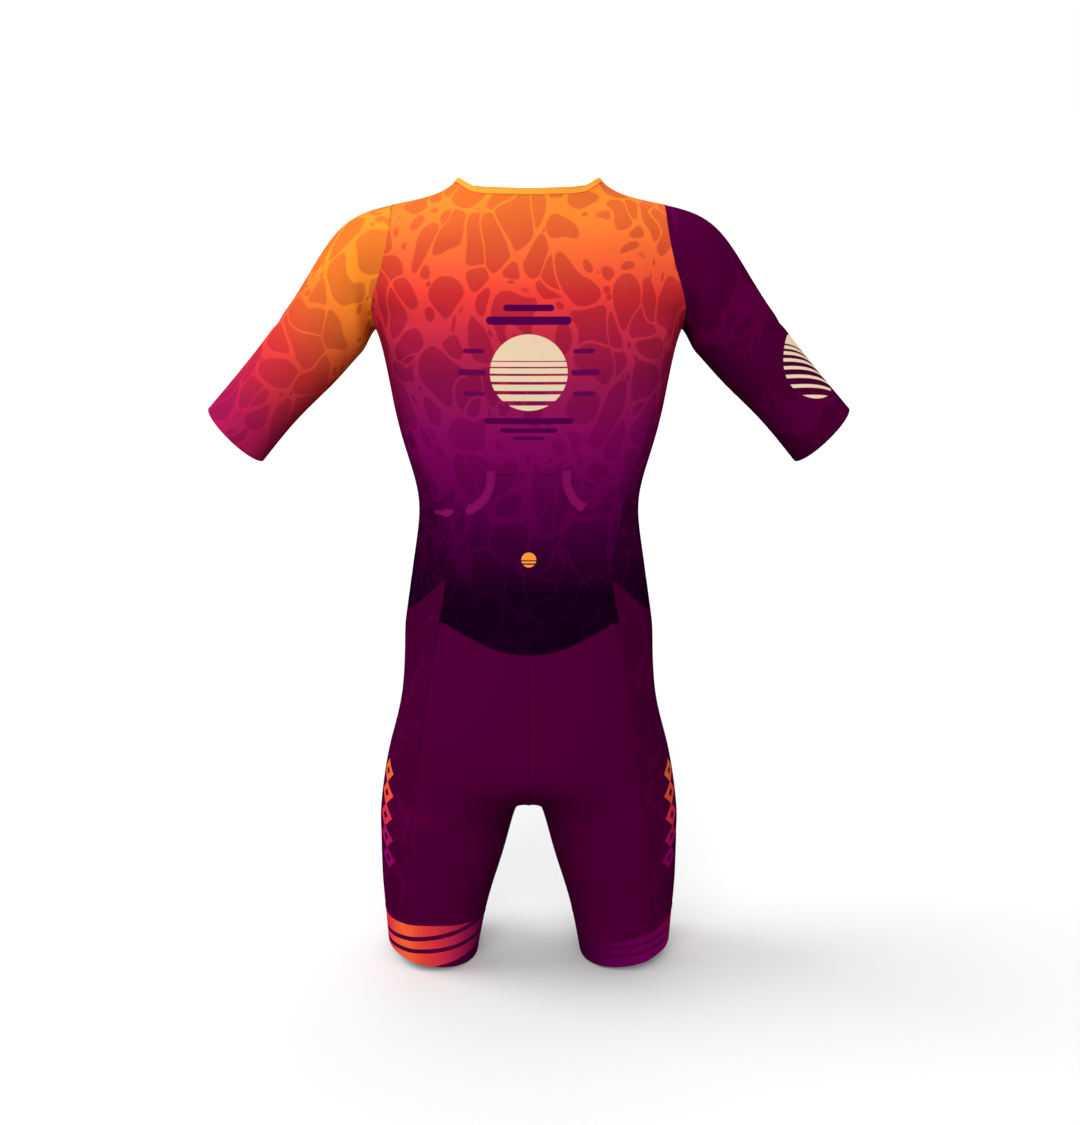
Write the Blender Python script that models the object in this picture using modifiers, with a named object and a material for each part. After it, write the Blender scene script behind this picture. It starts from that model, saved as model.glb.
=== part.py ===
"""Cycling skinsuit, filled out with no wearer.

One smooth form carries every panel: a coarse cage is worked out from tables of sections, smoothed,
and cut along its seams. Each panel is a wall built inward from that form, 0.3 mm from its neighbours.
Origin between the shoulders, where the wearer holds it up. +Z is up, the front faces -Y and the
wearer's left is +X. Metres.
"""

import math

import bmesh
import bpy
import numpy as np

# ---------------------------------------------------------------- driving sizes
WALL = 0.0012  # cloth wall
SEAM_GAP = 0.0003  # between neighbouring pieces
LAY_GAP = 0.0003  # between a panel and what lies on it
NECK_BINDING_WIDTH = 0.007
POCKET_WALL = 0.0010
BINDING_WALL = 0.0018  # pocket mouth binding, folded double
SLOT_HALF = 0.0042  # half the slot between the fronts, where the zip shows
TAPE_WIDTH = 0.013
TAPE_WALL = 0.0010
COIL_HALF = 0.0024
COIL_RISE = 0.0006
FORM_LEVELS = 1  # smoothing of the cage

# columns of the cage, from centre front (0) round the side to centre back
FRONT_SEAM, SIDE, BACK_SEAM, CENTRE_BACK = 5, 7, 9, 14
NECK_COLUMN = 3  # side neck point, counted from centre front
ROWS_UP = 5  # rows from the armpit to the shoulder seam
INSEAM = 16  # column of the inner leg seam

# body sections: height, half width, front and back depth, roundness, seam places as parts of the half width
SECTIONS = [
    # z, half, front, back, power, frontSeam, backSeam
    (-0.120, 0.180, -0.113, 0.106, 2.5, 0.90, 0.988),
    (-0.150, 0.175, -0.115, 0.106, 2.5, 0.89, 0.984),
    (-0.188, 0.164, -0.117, 0.104, 2.5, 0.86, 0.955),
    (-0.225, 0.158, -0.115, 0.100, 2.4, 0.83, 0.910),
    (-0.263, 0.149, -0.110, 0.094, 2.4, 0.81, 0.875),
    (-0.301, 0.139, -0.105, 0.088, 2.3, 0.80, 0.855),
    (-0.344, 0.1295, -0.101, 0.084, 2.3, 0.79, 0.835),
    (-0.368, 0.1300, -0.100, 0.084, 2.3, 0.79, 0.790),
    (-0.392, 0.1325, -0.100, 0.086, 2.3, 0.79, 0.740),
    (-0.417, 0.1370, -0.101, 0.090, 2.3, 0.79, 0.693),
    (-0.441, 0.1410, -0.102, 0.095, 2.3, 0.79, 0.695),
    (-0.466, 0.1435, -0.103, 0.101, 2.3, 0.79, 0.710),
    (-0.515, 0.1480, -0.104, 0.113, 2.3, 0.79, 0.755),
    (-0.565, 0.1500, -0.103, 0.122, 2.4, 0.79, 0.785),
    (-0.590, 0.1540, -0.102, 0.125, 2.4, 0.79, 0.790),
    (-0.616, 0.1610, -0.101, 0.126, 2.4, 0.79, 0.782),
    (-0.641, 0.1670, -0.100, 0.124, 2.4, 0.79, 0.772),
    (-0.667, 0.1710, -0.099, 0.119, 2.5, 0.79, 0.765),
    (-0.692, 0.1760, -0.099, 0.112, 2.5, 0.79, 0.760),
    (-0.718, 0.1780, -0.099, 0.105, 2.5, 0.79, 0.760),
]

# cage rows of the body: height at centre front, front seam, side, back seam and centre back, and how
# late the line turns between the side and the back seam (1 is straight)
BODY_ROWS = [
    # name, front, frontSeam, side, backSeam, back, turn
    ("armpit", -0.160, -0.138, -0.146, -0.134, -0.158, 1.0),
    ("chest", -0.204, -0.192, -0.194, -0.186, -0.200, 1.0),
    ("ribs", -0.250, -0.242, -0.242, -0.238, -0.245, 1.0),
    ("pocket", -0.300, -0.292, -0.290, -0.285, -0.290, 1.0),
    ("waist", -0.356, -0.346, -0.342, -0.334, -0.342, 1.0),
    ("lower", -0.424, -0.410, -0.402, -0.380, -0.400, 1.4),
    ("waistSeam", -0.500, -0.482, -0.472, -0.421, -0.452, 1.9),
    ("tail", -0.548, -0.526, -0.506, -0.472, -0.501, 0.7),
    ("seat", -0.604, -0.590, -0.576, -0.545, -0.560, 1.0),
    ("seatLow", -0.652, -0.642, -0.638, -0.622, -0.616, 1.0),
    ("rise", -0.690, -0.695, -0.696, -0.694, -0.668, 1.0),
]

# rows above the armpit: the armhole edge (x, y, z) and the centre (y, z), back then front
UPPER_ROWS = [
    # backX, backY, backZ, backMidY, backMidZ, frontX, frontY, frontZ, frontMidY, frontMidZ
    (0.1765, 0.053, -0.104, 0.107, -0.120, 0.1520, -0.070, -0.108, -0.117, -0.128),
    (0.1660, 0.062, -0.072, 0.104, -0.083, 0.1440, -0.073, -0.076, -0.111, -0.100),
    (0.1580, 0.059, -0.040, 0.096, -0.047, 0.1430, -0.063, -0.043, -0.102, -0.076),
    (0.1545, 0.036, -0.0125, 0.084, -0.014, 0.1490, -0.038, -0.014, -0.091, -0.055),
]
SHOULDER_POINT = (0.1540, -0.001, -0.0020)
# top edge of the neck binding, from centre front to centre back: x, y, z and the way it runs on
NECK_EDGE = [
    # x, y, z, wayX, wayY, wayZ
    (0.0000, -0.078, -0.036, 0.00, 0.30, 0.95),
    (0.0360, -0.068, -0.029, -0.25, 0.30, 0.92),
    (0.0660, -0.041, -0.008, -0.60, 0.30, 0.74),
    (0.0790, -0.001, 0.0255, -0.90, 0.00, 0.42),
    (0.0620, 0.043, 0.0220, -0.55, -0.40, 0.73),
    (0.0330, 0.060, 0.0208, -0.25, -0.45, 0.85),
    (0.0000, 0.064, 0.0203, 0.00, -0.45, 0.89),
]
# how far each column stands from the centre, as parts of the armhole's place: even, and at the top
EVEN_COLUMNS = (0.0, 0.2, 0.4, 0.6, 0.8, 1.0)
TOP_COLUMNS = (0.0, 0.22, 0.41, 0.555, 0.765, 1.0)

# sleeve rings: outer and under points of the outline (x, z), middle y and half depth
SLEEVE_RINGS = [
    # outX, outZ, underX, underZ, midY, depth
    (0.2030, -0.0190, 0.1870, -0.1610, -0.002, 0.067),
    (0.2400, -0.0610, 0.1990, -0.1760, -0.003, 0.062),
    (0.2730, -0.1120, 0.2280, -0.2080, -0.004, 0.056),
    (0.3220, -0.1760, 0.2690, -0.2480, -0.007, 0.050),
    (0.3740, -0.2365, 0.3115, -0.2985, -0.011, 0.0465),
]

# crotch line between the legs, from front to back: y, z
CROTCH_LINE = [(0.078, -0.6960), (0.030, -0.7070), (-0.020, -0.7080), (-0.068, -0.7020)]
# leg rings: inner and outer x, front and back y, then the height at the front, outer, back and inner points
LEG_RINGS = [
    # inX, outX, frontY, backY, zFront, zOuter, zBack, zInner
    (0.0140, 0.1800, -0.092, 0.100, -0.7220, -0.7330, -0.7130, -0.7180),
    (0.0280, 0.1800, -0.092, 0.091, -0.7690, -0.7730, -0.7630, -0.7680),
    (0.0430, 0.1795, -0.087, 0.081, -0.8140, -0.8130, -0.8080, -0.8190),
    (0.0535, 0.1770, -0.082, 0.074, -0.8560, -0.8520, -0.8450, -0.8610),
    (0.0630, 0.1738, -0.077, 0.071, -0.9030, -0.8930, -0.9050, -0.9110),
]
BAND_RING = 3  # the band starts at this ring
# angle of each leg column round the leg, at the crotch and at the hem: 0 front, 90 outer, 180 back
TOP_ANGLES = (-52, -38, -22, -4, 16, 38, 64, 92, 121, 150, 167, 184, 201, 217, 232, 248, 263, 278, 293)
LOW_ANGLES = (-28, -13, 2, 18, 34, 50, 72, 98, 125, 152, 165, 177, 189, 202, 216, 236, 260, 284, 308)
ANGLE_BLEND = (0.0, 0.4, 0.75, 1.0, 1.0)

# pocket mouth, from its top corner out to the side seam: x, z, width of its left and right binding
POCKET_MOUTH = [
    # x, z, leftWidth, rightWidth
    (0.0425, -0.2915, 0.0104, 0.0104),
    (0.0436, -0.3085, 0.0104, 0.0104),
    (0.0488, -0.3220, 0.0104, 0.0104),
    (0.0555, -0.3310, 0.0104, 0.0104),
    (0.0630, -0.3365, 0.0104, 0.0104),
    (0.0695, -0.3398, 0.0104, 0.0),
    (0.0750, -0.3400, 0.0016, 0.0),
    (0.0840, -0.3415, 0.0016, 0.0),
    (0.0900, -0.3440, 0.0066, 0.0),
    (0.0960, -0.3462, 0.0088, 0.0),
    (0.1025, -0.3468, 0.0048, 0.0),
    (0.1300, -0.3510, 0.0, 0.0),
]
POCKET_TOP = -0.2922
ZIP_TOP, ZIP_END = -0.046, -0.497

# slider and pull tab of the zip
SLIDER_WIDTH, SLIDER_LENGTH, SLIDER_DEPTH = 0.0076, 0.0110, 0.0034
SLIDER_TOP = -0.0475
EAR_RISE, EAR_WIDTH, EAR_LENGTH, EAR_INSIDE = 0.0046, 0.0011, 0.0042, 0.0046
BAR_RADIUS = 0.0007
EYE_CLEAR, EYE_WALL, EYE_WIDTH = 0.00035, 0.0010, 0.0030
TAB_WIDTH, TAB_LENGTH, TAB_THICK = 0.0066, 0.0230, 0.0016
TAB_LEAN = math.radians(-15)  # the tab lies on the zip, turned in from the slider's line by this

# colours by slot
COLOURS = {
    "knit_fade": (0.55, 0.06, 0.10),
    "knit_side": (0.30, 0.02, 0.10),
    "knit_sleeve_left": (0.85, 0.20, 0.09),
    "knit_sleeve_right": (0.07, 0.002, 0.03),
    "knit_shorts": (0.075, 0.003, 0.03),
    "band_left": (0.80, 0.10, 0.06),
    "band_right": (0.20, 0.006, 0.07),
    "binding_orange": (0.90, 0.26, 0.04),
    "binding_magenta": (0.25, 0.005, 0.11),
    "zip_tape": (0.03, 0.004, 0.02),
    "zip_plastic": (0.035, 0.01, 0.025),
    "zip_metal": (0.10, 0.09, 0.10),
}

PANELS = [
    # name, slot
    ("back_panel", "knit_fade"),
    ("front_left", "knit_fade"),
    ("front_right", "knit_fade"),
    ("side_left", "knit_side"),
    ("side_right", "knit_side"),
    ("sleeve_left", "knit_sleeve_left"),
    ("sleeve_right", "knit_sleeve_right"),
    ("neck_binding", "binding_orange"),
    ("shorts_back_left", "knit_shorts"),
    ("shorts_back_right", "knit_shorts"),
    ("shorts_front_left", "knit_shorts"),
    ("shorts_front_right", "knit_shorts"),
    ("shorts_side_left", "knit_shorts"),
    ("shorts_side_right", "knit_shorts"),
    ("leg_band_left", "band_left"),
    ("leg_band_right", "band_right"),
]
PANEL_INDEX = {name: i for i, (name, slot) in enumerate(PANELS)}
SIDES = ((1, "left"), (-1, "right"))


# ---------------------------------------------------------------- scene and materials
def clear_scene():
    for thing in list(bpy.data.objects):
        bpy.data.objects.remove(thing)


def collection(name, helper=False):
    made = bpy.data.collections.new(name)
    bpy.context.scene.collection.children.link(made)
    made.hide_render = helper
    return made


def material(slot):
    made = bpy.data.materials.get(slot)
    if made is None:
        made = bpy.data.materials.new(slot)
        made.use_nodes = True
        shader = made.node_tree.nodes["Principled BSDF"]
        shader.inputs["Base Color"].default_value = (*COLOURS[slot], 1.0)
        shader.inputs["Roughness"].default_value = 0.35 if slot.startswith("zip") else 0.8
    return made


def mesh_object(name, points, faces, home, slot=None):
    mesh = bpy.data.meshes.new(name)
    mesh.from_pydata([tuple(p) for p in points], [], [tuple(int(i) for i in f) for f in faces])
    mesh.update()
    made = bpy.data.objects.new(name, mesh)
    home.objects.link(made)
    if slot:
        mesh.materials.append(material(slot))
    return made


# ---------------------------------------------------------------- the cage
def table_value(z, column):
    """A column of SECTIONS at a height, by smooth interpolation between its rows."""
    heights = np.array([row[0] for row in SECTIONS])[::-1]
    values = np.array([row[column] for row in SECTIONS])[::-1]
    i = int(np.clip(np.searchsorted(heights, z) - 1, 0, len(heights) - 2))
    slopes = np.gradient(values, heights)
    step = heights[i + 1] - heights[i]
    t = float(np.clip((z - heights[i]) / step, 0, 1))
    start = (1 + 2 * t) * (1 - t) ** 2 * values[i] + t * (1 - t) ** 2 * step * slopes[i]
    end = t * t * (3 - 2 * t) * values[i + 1] + t * t * (t - 1) * step * slopes[i + 1]
    return start + end


def body_point(column, z):
    half, front, back, power, front_seam, back_seam = (table_value(z, i) for i in range(1, 7))
    at_front = math.asin(front_seam ** (power / 2))
    at_back = math.pi - math.asin(back_seam ** (power / 2))
    if column <= FRONT_SEAM:
        angle = at_front * column / FRONT_SEAM
    elif column <= BACK_SEAM:
        angle = at_front + (at_back - at_front) * (column - FRONT_SEAM) / (BACK_SEAM - FRONT_SEAM)
    else:
        angle = at_back + (math.pi - at_back) * (column - BACK_SEAM) / (CENTRE_BACK - BACK_SEAM)
    side, along = abs(math.sin(angle)), math.cos(angle)
    middle = 0.5 * (front + back)
    reach = (middle - front) if along > 0 else (back - middle)
    x = half * side ** (2 / power)
    if column in (0, CENTRE_BACK):
        x = 0.0
    return (x, middle - math.copysign(abs(along) ** (2 / power), along) * reach, z)


def row_height(row, column):
    name, front, front_seam, side, back_seam, back, turn = row
    places = (0, FRONT_SEAM, SIDE, BACK_SEAM, CENTRE_BACK)
    heights = (front, front_seam, side, back_seam, back)
    for i in range(4):
        if column <= places[i + 1]:
            t = (column - places[i]) / (places[i + 1] - places[i])
            if i in (0, 3):
                t = t * t * (3 - 2 * t)
            elif i == 2:
                t = t**turn
            return heights[i] + (heights[i + 1] - heights[i]) * t
    return back


def neck_point(column):
    """Edge of the panels under the binding, and the binding's top edge. Columns count from centre front."""
    x, y, z, *way = NECK_EDGE[column]
    way = np.array(way) / np.linalg.norm(way)
    top = np.array((x, y, z))
    low = top - NECK_BINDING_WIDTH * way
    if x == 0:
        low[0] = 0
    return low, top


def upper_point(column, level):
    """Front columns 0 to 5 and back columns 9 to 14, between the armpit row (0) and the shoulder (5)."""
    back = column >= BACK_SEAM
    step = CENTRE_BACK - column if back else column
    if level == ROWS_UP:
        if step <= NECK_COLUMN:
            return neck_point(2 * NECK_COLUMN - step if back else step)[0]
        low = neck_point(NECK_COLUMN)[0]
        end = np.array(SHOULDER_POINT)
        t = (TOP_COLUMNS[step] - TOP_COLUMNS[NECK_COLUMN]) / (1 - TOP_COLUMNS[NECK_COLUMN])
        point = low + (end - low) * t
        point[2] -= 0.004 * math.sin(math.pi * t)
        return point
    row = UPPER_ROWS[level - 1]
    x, y, z, mid_y, mid_z = row[:5] if back else row[5:]
    blend = level / ROWS_UP
    part = EVEN_COLUMNS[step] * (1 - blend) + TOP_COLUMNS[step] * blend
    return np.array((x * part, mid_y + (y - mid_y) * part**2.4, mid_z + (z - mid_z) * part**1.6))


def sleeve_point(ring, place, places):
    """Rings run from the underarm (place 0) over the back to the top and down the front."""
    out_x, out_z, under_x, under_z, mid_y, depth = SLEEVE_RINGS[ring]
    angle = 2 * math.pi * place / places
    middle = 0.5 * np.array((out_x + under_x, 2 * mid_y, out_z + under_z))
    up = 0.5 * np.array((out_x - under_x, 0, out_z - under_z))
    return middle - up * math.cos(angle) + np.array((0, depth, 0)) * math.sin(angle)


def leg_point(ring, column):
    in_x, out_x, front_y, back_y, z_front, z_outer, z_back, z_inner = LEG_RINGS[ring]
    blend = ANGLE_BLEND[ring]
    angle = math.radians(TOP_ANGLES[column] * (1 - blend) + LOW_ANGLES[column] * blend)
    side, along = math.sin(angle), -math.cos(angle)
    x = 0.5 * (in_x + out_x) + 0.5 * (out_x - in_x) * math.copysign(abs(side) ** 0.92, side)
    y = 0.5 * (front_y + back_y) + 0.5 * (back_y - front_y) * math.copysign(abs(along) ** 0.92, along)
    z = 0.5 * (z_outer + z_inner) + 0.5 * (z_outer - z_inner) * side
    z += (0.5 * (z_back - z_front) * along
          + (0.5 * (z_back + z_front) - 0.5 * (z_outer + z_inner)) * along * along)
    return (x, y, z)


class Cage:
    def __init__(self):
        self.index = {}
        self.points = []
        self.faces = []
        self.panels = []

    def vertex(self, key, point, side):
        point = (point[0] * side, point[1], point[2])
        full = key if abs(point[0]) < 1e-9 else (side, *key)
        if full not in self.index:
            self.index[full] = len(self.points)
            self.points.append(point)
        return self.index[full]

    def face(self, corners, panel, side):
        self.faces.append(corners if side > 0 else corners[::-1])
        self.panels.append(PANEL_INDEX[panel])


def build_cage():
    cage = Cage()
    last = len(BODY_ROWS) - 1
    seam_row = [row[0] for row in BODY_ROWS].index("waistSeam")
    tail_row = [row[0] for row in BODY_ROWS].index("tail")
    for side, word in SIDES:
        body = {}
        for r, row in enumerate(BODY_ROWS):
            for c in range(CENTRE_BACK + 1):
                body[r, c] = cage.vertex(("body", r, c), body_point(c, row_height(row, c)), side)
        for r in range(last):
            for c in range(CENTRE_BACK):
                if c < FRONT_SEAM:
                    panel = "front_" if r < seam_row else "shorts_front_"
                elif c < BACK_SEAM:
                    panel = "side_" if r < seam_row else "shorts_side_"
                else:
                    panel = "back_panel" if r < tail_row else "shorts_back_"
                name = panel if panel == "back_panel" else panel + word
                corners = (body[r, c], body[r + 1, c], body[r + 1, c + 1], body[r, c + 1])
                cage.face(corners, name, side)

        # front and back above the armpit, up to the shoulder seam and the neck
        upper = {}
        columns = list(range(FRONT_SEAM + 1)) + list(range(BACK_SEAM, CENTRE_BACK + 1))
        for c in columns:
            upper[0, c] = body[0, c]
            for level in range(1, ROWS_UP + 1):
                key = ("upper", level, c)
                step = CENTRE_BACK - c if c >= BACK_SEAM else c
                if level == ROWS_UP and step >= NECK_COLUMN:
                    key = ("shoulder", step)
                upper[level, c] = cage.vertex(key, upper_point(c, level), side)
        for c in columns:
            if c in (FRONT_SEAM, CENTRE_BACK):
                continue
            name = "front_" + word if c < FRONT_SEAM else "back_panel"
            for level in range(ROWS_UP):
                corners = (upper[level, c], upper[level, c + 1], upper[level + 1, c + 1], upper[level + 1, c])
                cage.face(corners, name, side)

        # neck binding
        edge = []
        for step in range(2 * NECK_COLUMN + 1):
            low = upper[ROWS_UP, step if step <= NECK_COLUMN else CENTRE_BACK - (2 * NECK_COLUMN - step)]
            edge.append((low, cage.vertex(("edge", step), neck_point(step)[1], side)))
        for (a, b), (c, d) in zip(edge, edge[1:]):
            cage.face((a, c, d, b), "neck_binding", side)

        # sleeve, from the armhole: underarm, back edge, shoulder point, front edge
        loop = [body[0, c] for c in range(SIDE, BACK_SEAM + 1)]
        loop += [upper[level, BACK_SEAM] for level in range(1, ROWS_UP + 1)]
        loop += [upper[level, FRONT_SEAM] for level in range(ROWS_UP - 1, 0, -1)]
        loop += [body[0, c] for c in range(FRONT_SEAM, SIDE)]
        places = len(loop)
        rings = [loop]
        for r in range(len(SLEEVE_RINGS)):
            rings.append([cage.vertex(("sleeve", r, k), sleeve_point(r, k, places), side) for k in range(places)])
        for near, far in zip(rings, rings[1:]):
            for k in range(places):
                n = (k + 1) % places
                cage.face((near[k], near[n], far[n], far[k]), "sleeve_" + word, side)

        # leg, from the lowest body row and the crotch line
        loop = [body[last, c] for c in range(CENTRE_BACK + 1)]
        for i, (y, z) in enumerate(CROTCH_LINE):
            loop.append(cage.vertex(("crotch", i), (0.0, y, z), side))
        rings = [loop]
        for r in range(len(LEG_RINGS)):
            rings.append([cage.vertex(("leg", r, c), leg_point(r, c), side) for c in range(len(loop))])
        for r, (near, far) in enumerate(zip(rings, rings[1:])):
            for c in range(len(loop)):
                n = (c + 1) % len(loop)
                if r > BAND_RING:
                    name = "leg_band_"
                elif c < FRONT_SEAM or c >= INSEAM:
                    name = "shorts_front_"
                elif c < BACK_SEAM:
                    name = "shorts_side_"
                else:
                    name = "shorts_back_"
                cage.face((near[c], far[c], far[n], near[n]), name + word, side)
    return cage


def smooth_form(cage, home):
    """The cage smoothed so that its surface passes through the table's points."""
    wanted = np.array(cage.points)
    guide = mesh_object("form_cage", wanted, cage.faces, home)
    guide.display_type = "WIRE"
    guide.hide_render = True
    for name, slot in PANELS:
        guide.data.materials.append(material(slot))
    guide.data.polygons.foreach_set("material_index", cage.panels)
    smooth = guide.modifiers.new("Smooth", "SUBSURF")
    smooth.levels = smooth.render_levels = FORM_LEVELS
    smooth.use_limit_surface = True
    count = len(wanted)
    points = wanted.copy()
    for _ in range(6):
        guide.data.vertices.foreach_set("co", points.ravel())
        guide.data.update()
        graph = bpy.context.evaluated_depsgraph_get()
        graph.update()
        mesh = guide.evaluated_get(graph).to_mesh()
        found = np.empty(len(mesh.vertices) * 3)
        mesh.vertices.foreach_get("co", found)
        found = found.reshape(-1, 3)
        corners = np.empty(len(mesh.loops), int)
        mesh.loops.foreach_get("vertex_index", corners)
        panels = np.empty(len(mesh.polygons), int)
        mesh.polygons.foreach_get("material_index", panels)
        normals = np.array([v.normal[:] for v in mesh.vertices])
        guide.evaluated_get(graph).to_mesh_clear()
        points += 0.9 * (wanted - found[:count])
    return found, corners.reshape(-1, 4), panels, normals


# ---------------------------------------------------------------- walls
def edge_uses(faces):
    uses = {}
    for f, face in enumerate(faces):
        for a, b in zip(face, np.roll(face, -1)):
            uses.setdefault((min(a, b), max(a, b)), []).append((a, b, f))
    return uses


def wall(points, faces, normals, low, high, free_edges, gap):
    """A closed wall between two offsets from some faces of the form, drawn back by half the gap at its seams."""
    faces = np.asarray(faces)
    uses = edge_uses(faces)
    across = [edge for edge, used in uses.items() if len(used) == 1]
    inward = {}
    rim = []
    for edge in across:
        a, b, f = uses[edge][0]
        rim.append((a, b))
        if edge in free_edges:
            continue
        p = points[faces[f]]
        face_normal = np.cross(p[2] - p[0], p[3] - p[1])
        face_normal /= np.linalg.norm(face_normal)
        way = np.cross(face_normal, points[b] - points[a])
        way /= np.linalg.norm(way)
        inward.setdefault(a, []).append(way)
        inward.setdefault(b, []).append(way)
    used = np.unique(faces)
    place = {int(v): i for i, v in enumerate(used)}
    moved = points[used].copy()
    for vertex, ways in inward.items():
        if len(ways) == 1:
            shift = ways[0]
        else:
            total = ways[0] + ways[1]
            shift = total / max(1 + float(np.dot(ways[0], ways[1])), 0.08)
        moved[place[vertex]] += 0.5 * gap * shift
    out = moved + high * normals[used]
    inside = moved + low * normals[used]
    count = len(used)
    made = []
    for face in faces:
        a, b, c, d = (int(v) for v in face)
        # both skins are split along the same diagonal, so the wall keeps its thickness
        short = np.linalg.norm(points[a] - points[c]) < np.linalg.norm(points[b] - points[d])
        halves = ((a, b, c), (a, c, d)) if short else ((a, b, d), (b, c, d))
        made += [tuple(place[v] for v in half) for half in halves]
        made += [tuple(place[v] + count for v in half[::-1]) for half in halves]
    for a, b in rim:
        corners = (place[b], place[a], place[a] + count, place[b] + count)
        first = (0, 1, 3) if a < b else (0, 1, 2)
        second = (1, 2, 3) if a < b else (0, 2, 3)
        made += [tuple(corners[i] for i in half) for half in (first, second)]
    return np.concatenate([out, inside]), made


def prism(name, outline, y_near, y_far, home):
    """A cutter: an outline in x and z, run along y."""
    count = len(outline)
    near = [(x, y_near, z) for x, z in outline]
    far = [(x, y_far, z) for x, z in outline]
    area = sum(a[0] * b[1] - b[0] * a[1] for a, b in zip(outline, outline[1:] + outline[:1]))
    order = list(range(count)) if area > 0 else list(range(count))[::-1]
    sides = [(order[i - 1], order[i], order[i] + count, order[i - 1] + count) for i in range(count)]
    faces = [tuple(order), tuple(i + count for i in order[::-1])]
    faces += [side[::-1] for side in sides]
    made = mesh_object(name, near + far, faces, home)
    made.display_type = "WIRE"
    made.hide_render = True
    shape = bmesh.new()
    shape.from_mesh(made.data)
    bmesh.ops.recalc_face_normals(shape, faces=shape.faces)
    if shape.calc_volume(signed=True) < 0:
        bmesh.ops.reverse_faces(shape, faces=shape.faces)
    shape.to_mesh(made.data)
    shape.free()
    return made


def boolean(thing, cutter, operation):
    cut = thing.modifiers.new("Cut", "BOOLEAN")
    cut.operation = operation
    cut.solver = "EXACT"
    cut.object = cutter


# ---------------------------------------------------------------- pocket
def curve_points(rows, steps):
    """A smooth curve through rows of numbers, by Catmull-Rom."""
    rows = [np.array(row, float) for row in rows]
    ends = [2 * rows[0] - rows[1], *rows, 2 * rows[-1] - rows[-2]]
    out = []
    for i in range(1, len(ends) - 2):
        a, b, c, d = ends[i - 1], ends[i], ends[i + 1], ends[i + 2]
        for k in range(steps):
            t = k / steps
            out.append(0.5 * (2 * b + (c - a) * t + (2 * a - 5 * b + 4 * c - d) * t * t
                              + (3 * b - a - 3 * c + d) * t**3))
    out.append(rows[-1])
    return np.array(out)


def mouth_sides(side):
    """Upper and lower edge of the binding along the mouth on one side, and where the binding ends."""
    curve = curve_points(POCKET_MOUTH, 3)
    width = np.maximum(curve[:, 2 if side > 0 else 3], 0)
    way = np.gradient(curve[:, :2], axis=0)
    way /= np.linalg.norm(way, axis=1)[:, None]
    off = np.stack([-way[:, 1], way[:, 0]], axis=1)
    centre = curve[:, :2]
    over = centre + off * width[:, None] / 2
    under = centre - off * width[:, None] / 2
    rows = np.array([row[2 if side > 0 else 3] for row in POCKET_MOUTH])
    last = 3 * int(np.nonzero(rows)[0].max()) + (1 if side > 0 else 0)
    return over, under, off, width, last


def build_pocket(form, back_faces, free_edges, home, cutters):
    points, faces, panels, normals = form
    near = back_faces[points[back_faces][:, :, 2].min(axis=1) < -0.25]
    outline = []
    for side, word in SIDES:
        over, under, off, width, last = mouth_sides(side)
        # the binding stands on the back panel itself, and the pocket panel starts at its lower edge
        strip = [*over[: last + 1], *under[: last + 1][::-1]]
        cutter = prism("mouth_cutter_" + word, [(float(x) * side, float(z)) for x, z in strip], 0.03, 0.16, cutters)
        low, high = LAY_GAP, LAY_GAP + BINDING_WALL
        shell = wall(points, near, normals, low, high, free_edges, SEAM_GAP)
        piece = mesh_object("pocket_binding_" + word, *shell, home, "binding_magenta")
        boolean(piece, cutter, "INTERSECT")
        edge = under - off * np.where(width > 0, SEAM_GAP, 0)[:, None]
        edge = [(float(x) * side, float(z)) for x, z in edge if z < POCKET_TOP]
        corner = (edge[0][0], POCKET_TOP)
        outline.append([corner, *edge, (0.16 * side, -0.349), (0.16 * side, -0.56)])
    full = outline[0] + outline[1][::-1]
    cutter = prism("pocket_cutter", full, 0.03, 0.17, cutters)
    shell = wall(points, near, normals, LAY_GAP, LAY_GAP + POCKET_WALL, free_edges, SEAM_GAP)
    pocket = mesh_object("pocket_panel", *shell, home, "knit_fade")
    boolean(pocket, cutter, "INTERSECT")


# ---------------------------------------------------------------- zip
def box_outline(x_low, x_high, z_low, z_high):
    return [(x_low, z_low), (x_high, z_low), (x_high, z_high), (x_low, z_high)]


def front_depth(form, z):
    """y and slope of the centre front at a height, and the outward way there."""
    points, faces, panels, normals = form
    middle = np.nonzero((np.abs(points[:, 0]) < 1e-6) & (points[:, 1] < -0.03))[0]
    order = middle[np.argsort(points[middle, 2])]
    heights = points[order, 2]
    y = np.interp(z, heights, points[order, 1])
    step = 0.004
    lower, upper = (np.interp(z + s, heights, points[order, 1]) for s in (-step, step))
    way = np.array((0.0, -2 * step, upper - lower))
    return y, way / np.linalg.norm(way)


def add_box(shape, centre, half, along, across, out):
    corners = []
    for k in (-1, 1):
        for j in (-1, 1):
            for i in (-1, 1):
                corners.append(centre + i * half[0] * across + j * half[1] * out + k * half[2] * along)
    made = [shape.verts.new(tuple(c)) for c in corners]
    for quad in ((0, 1, 3, 2), (4, 6, 7, 5), (0, 4, 5, 1), (2, 3, 7, 6), (0, 2, 6, 4), (1, 5, 7, 3)):
        shape.faces.new([made[i] for i in quad])


def shape_object(name, shape, home, slot, bevel=0.0):
    bmesh.ops.recalc_face_normals(shape, faces=shape.faces)
    mesh = bpy.data.meshes.new(name)
    shape.to_mesh(mesh)
    shape.free()
    mesh.materials.append(material(slot))
    made = bpy.data.objects.new(name, mesh)
    home.objects.link(made)
    if bevel:
        rounding = made.modifiers.new("Rounding", "BEVEL")
        rounding.width = bevel
        rounding.segments = 2
        rounding.limit_method = "ANGLE"
    return made


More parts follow.
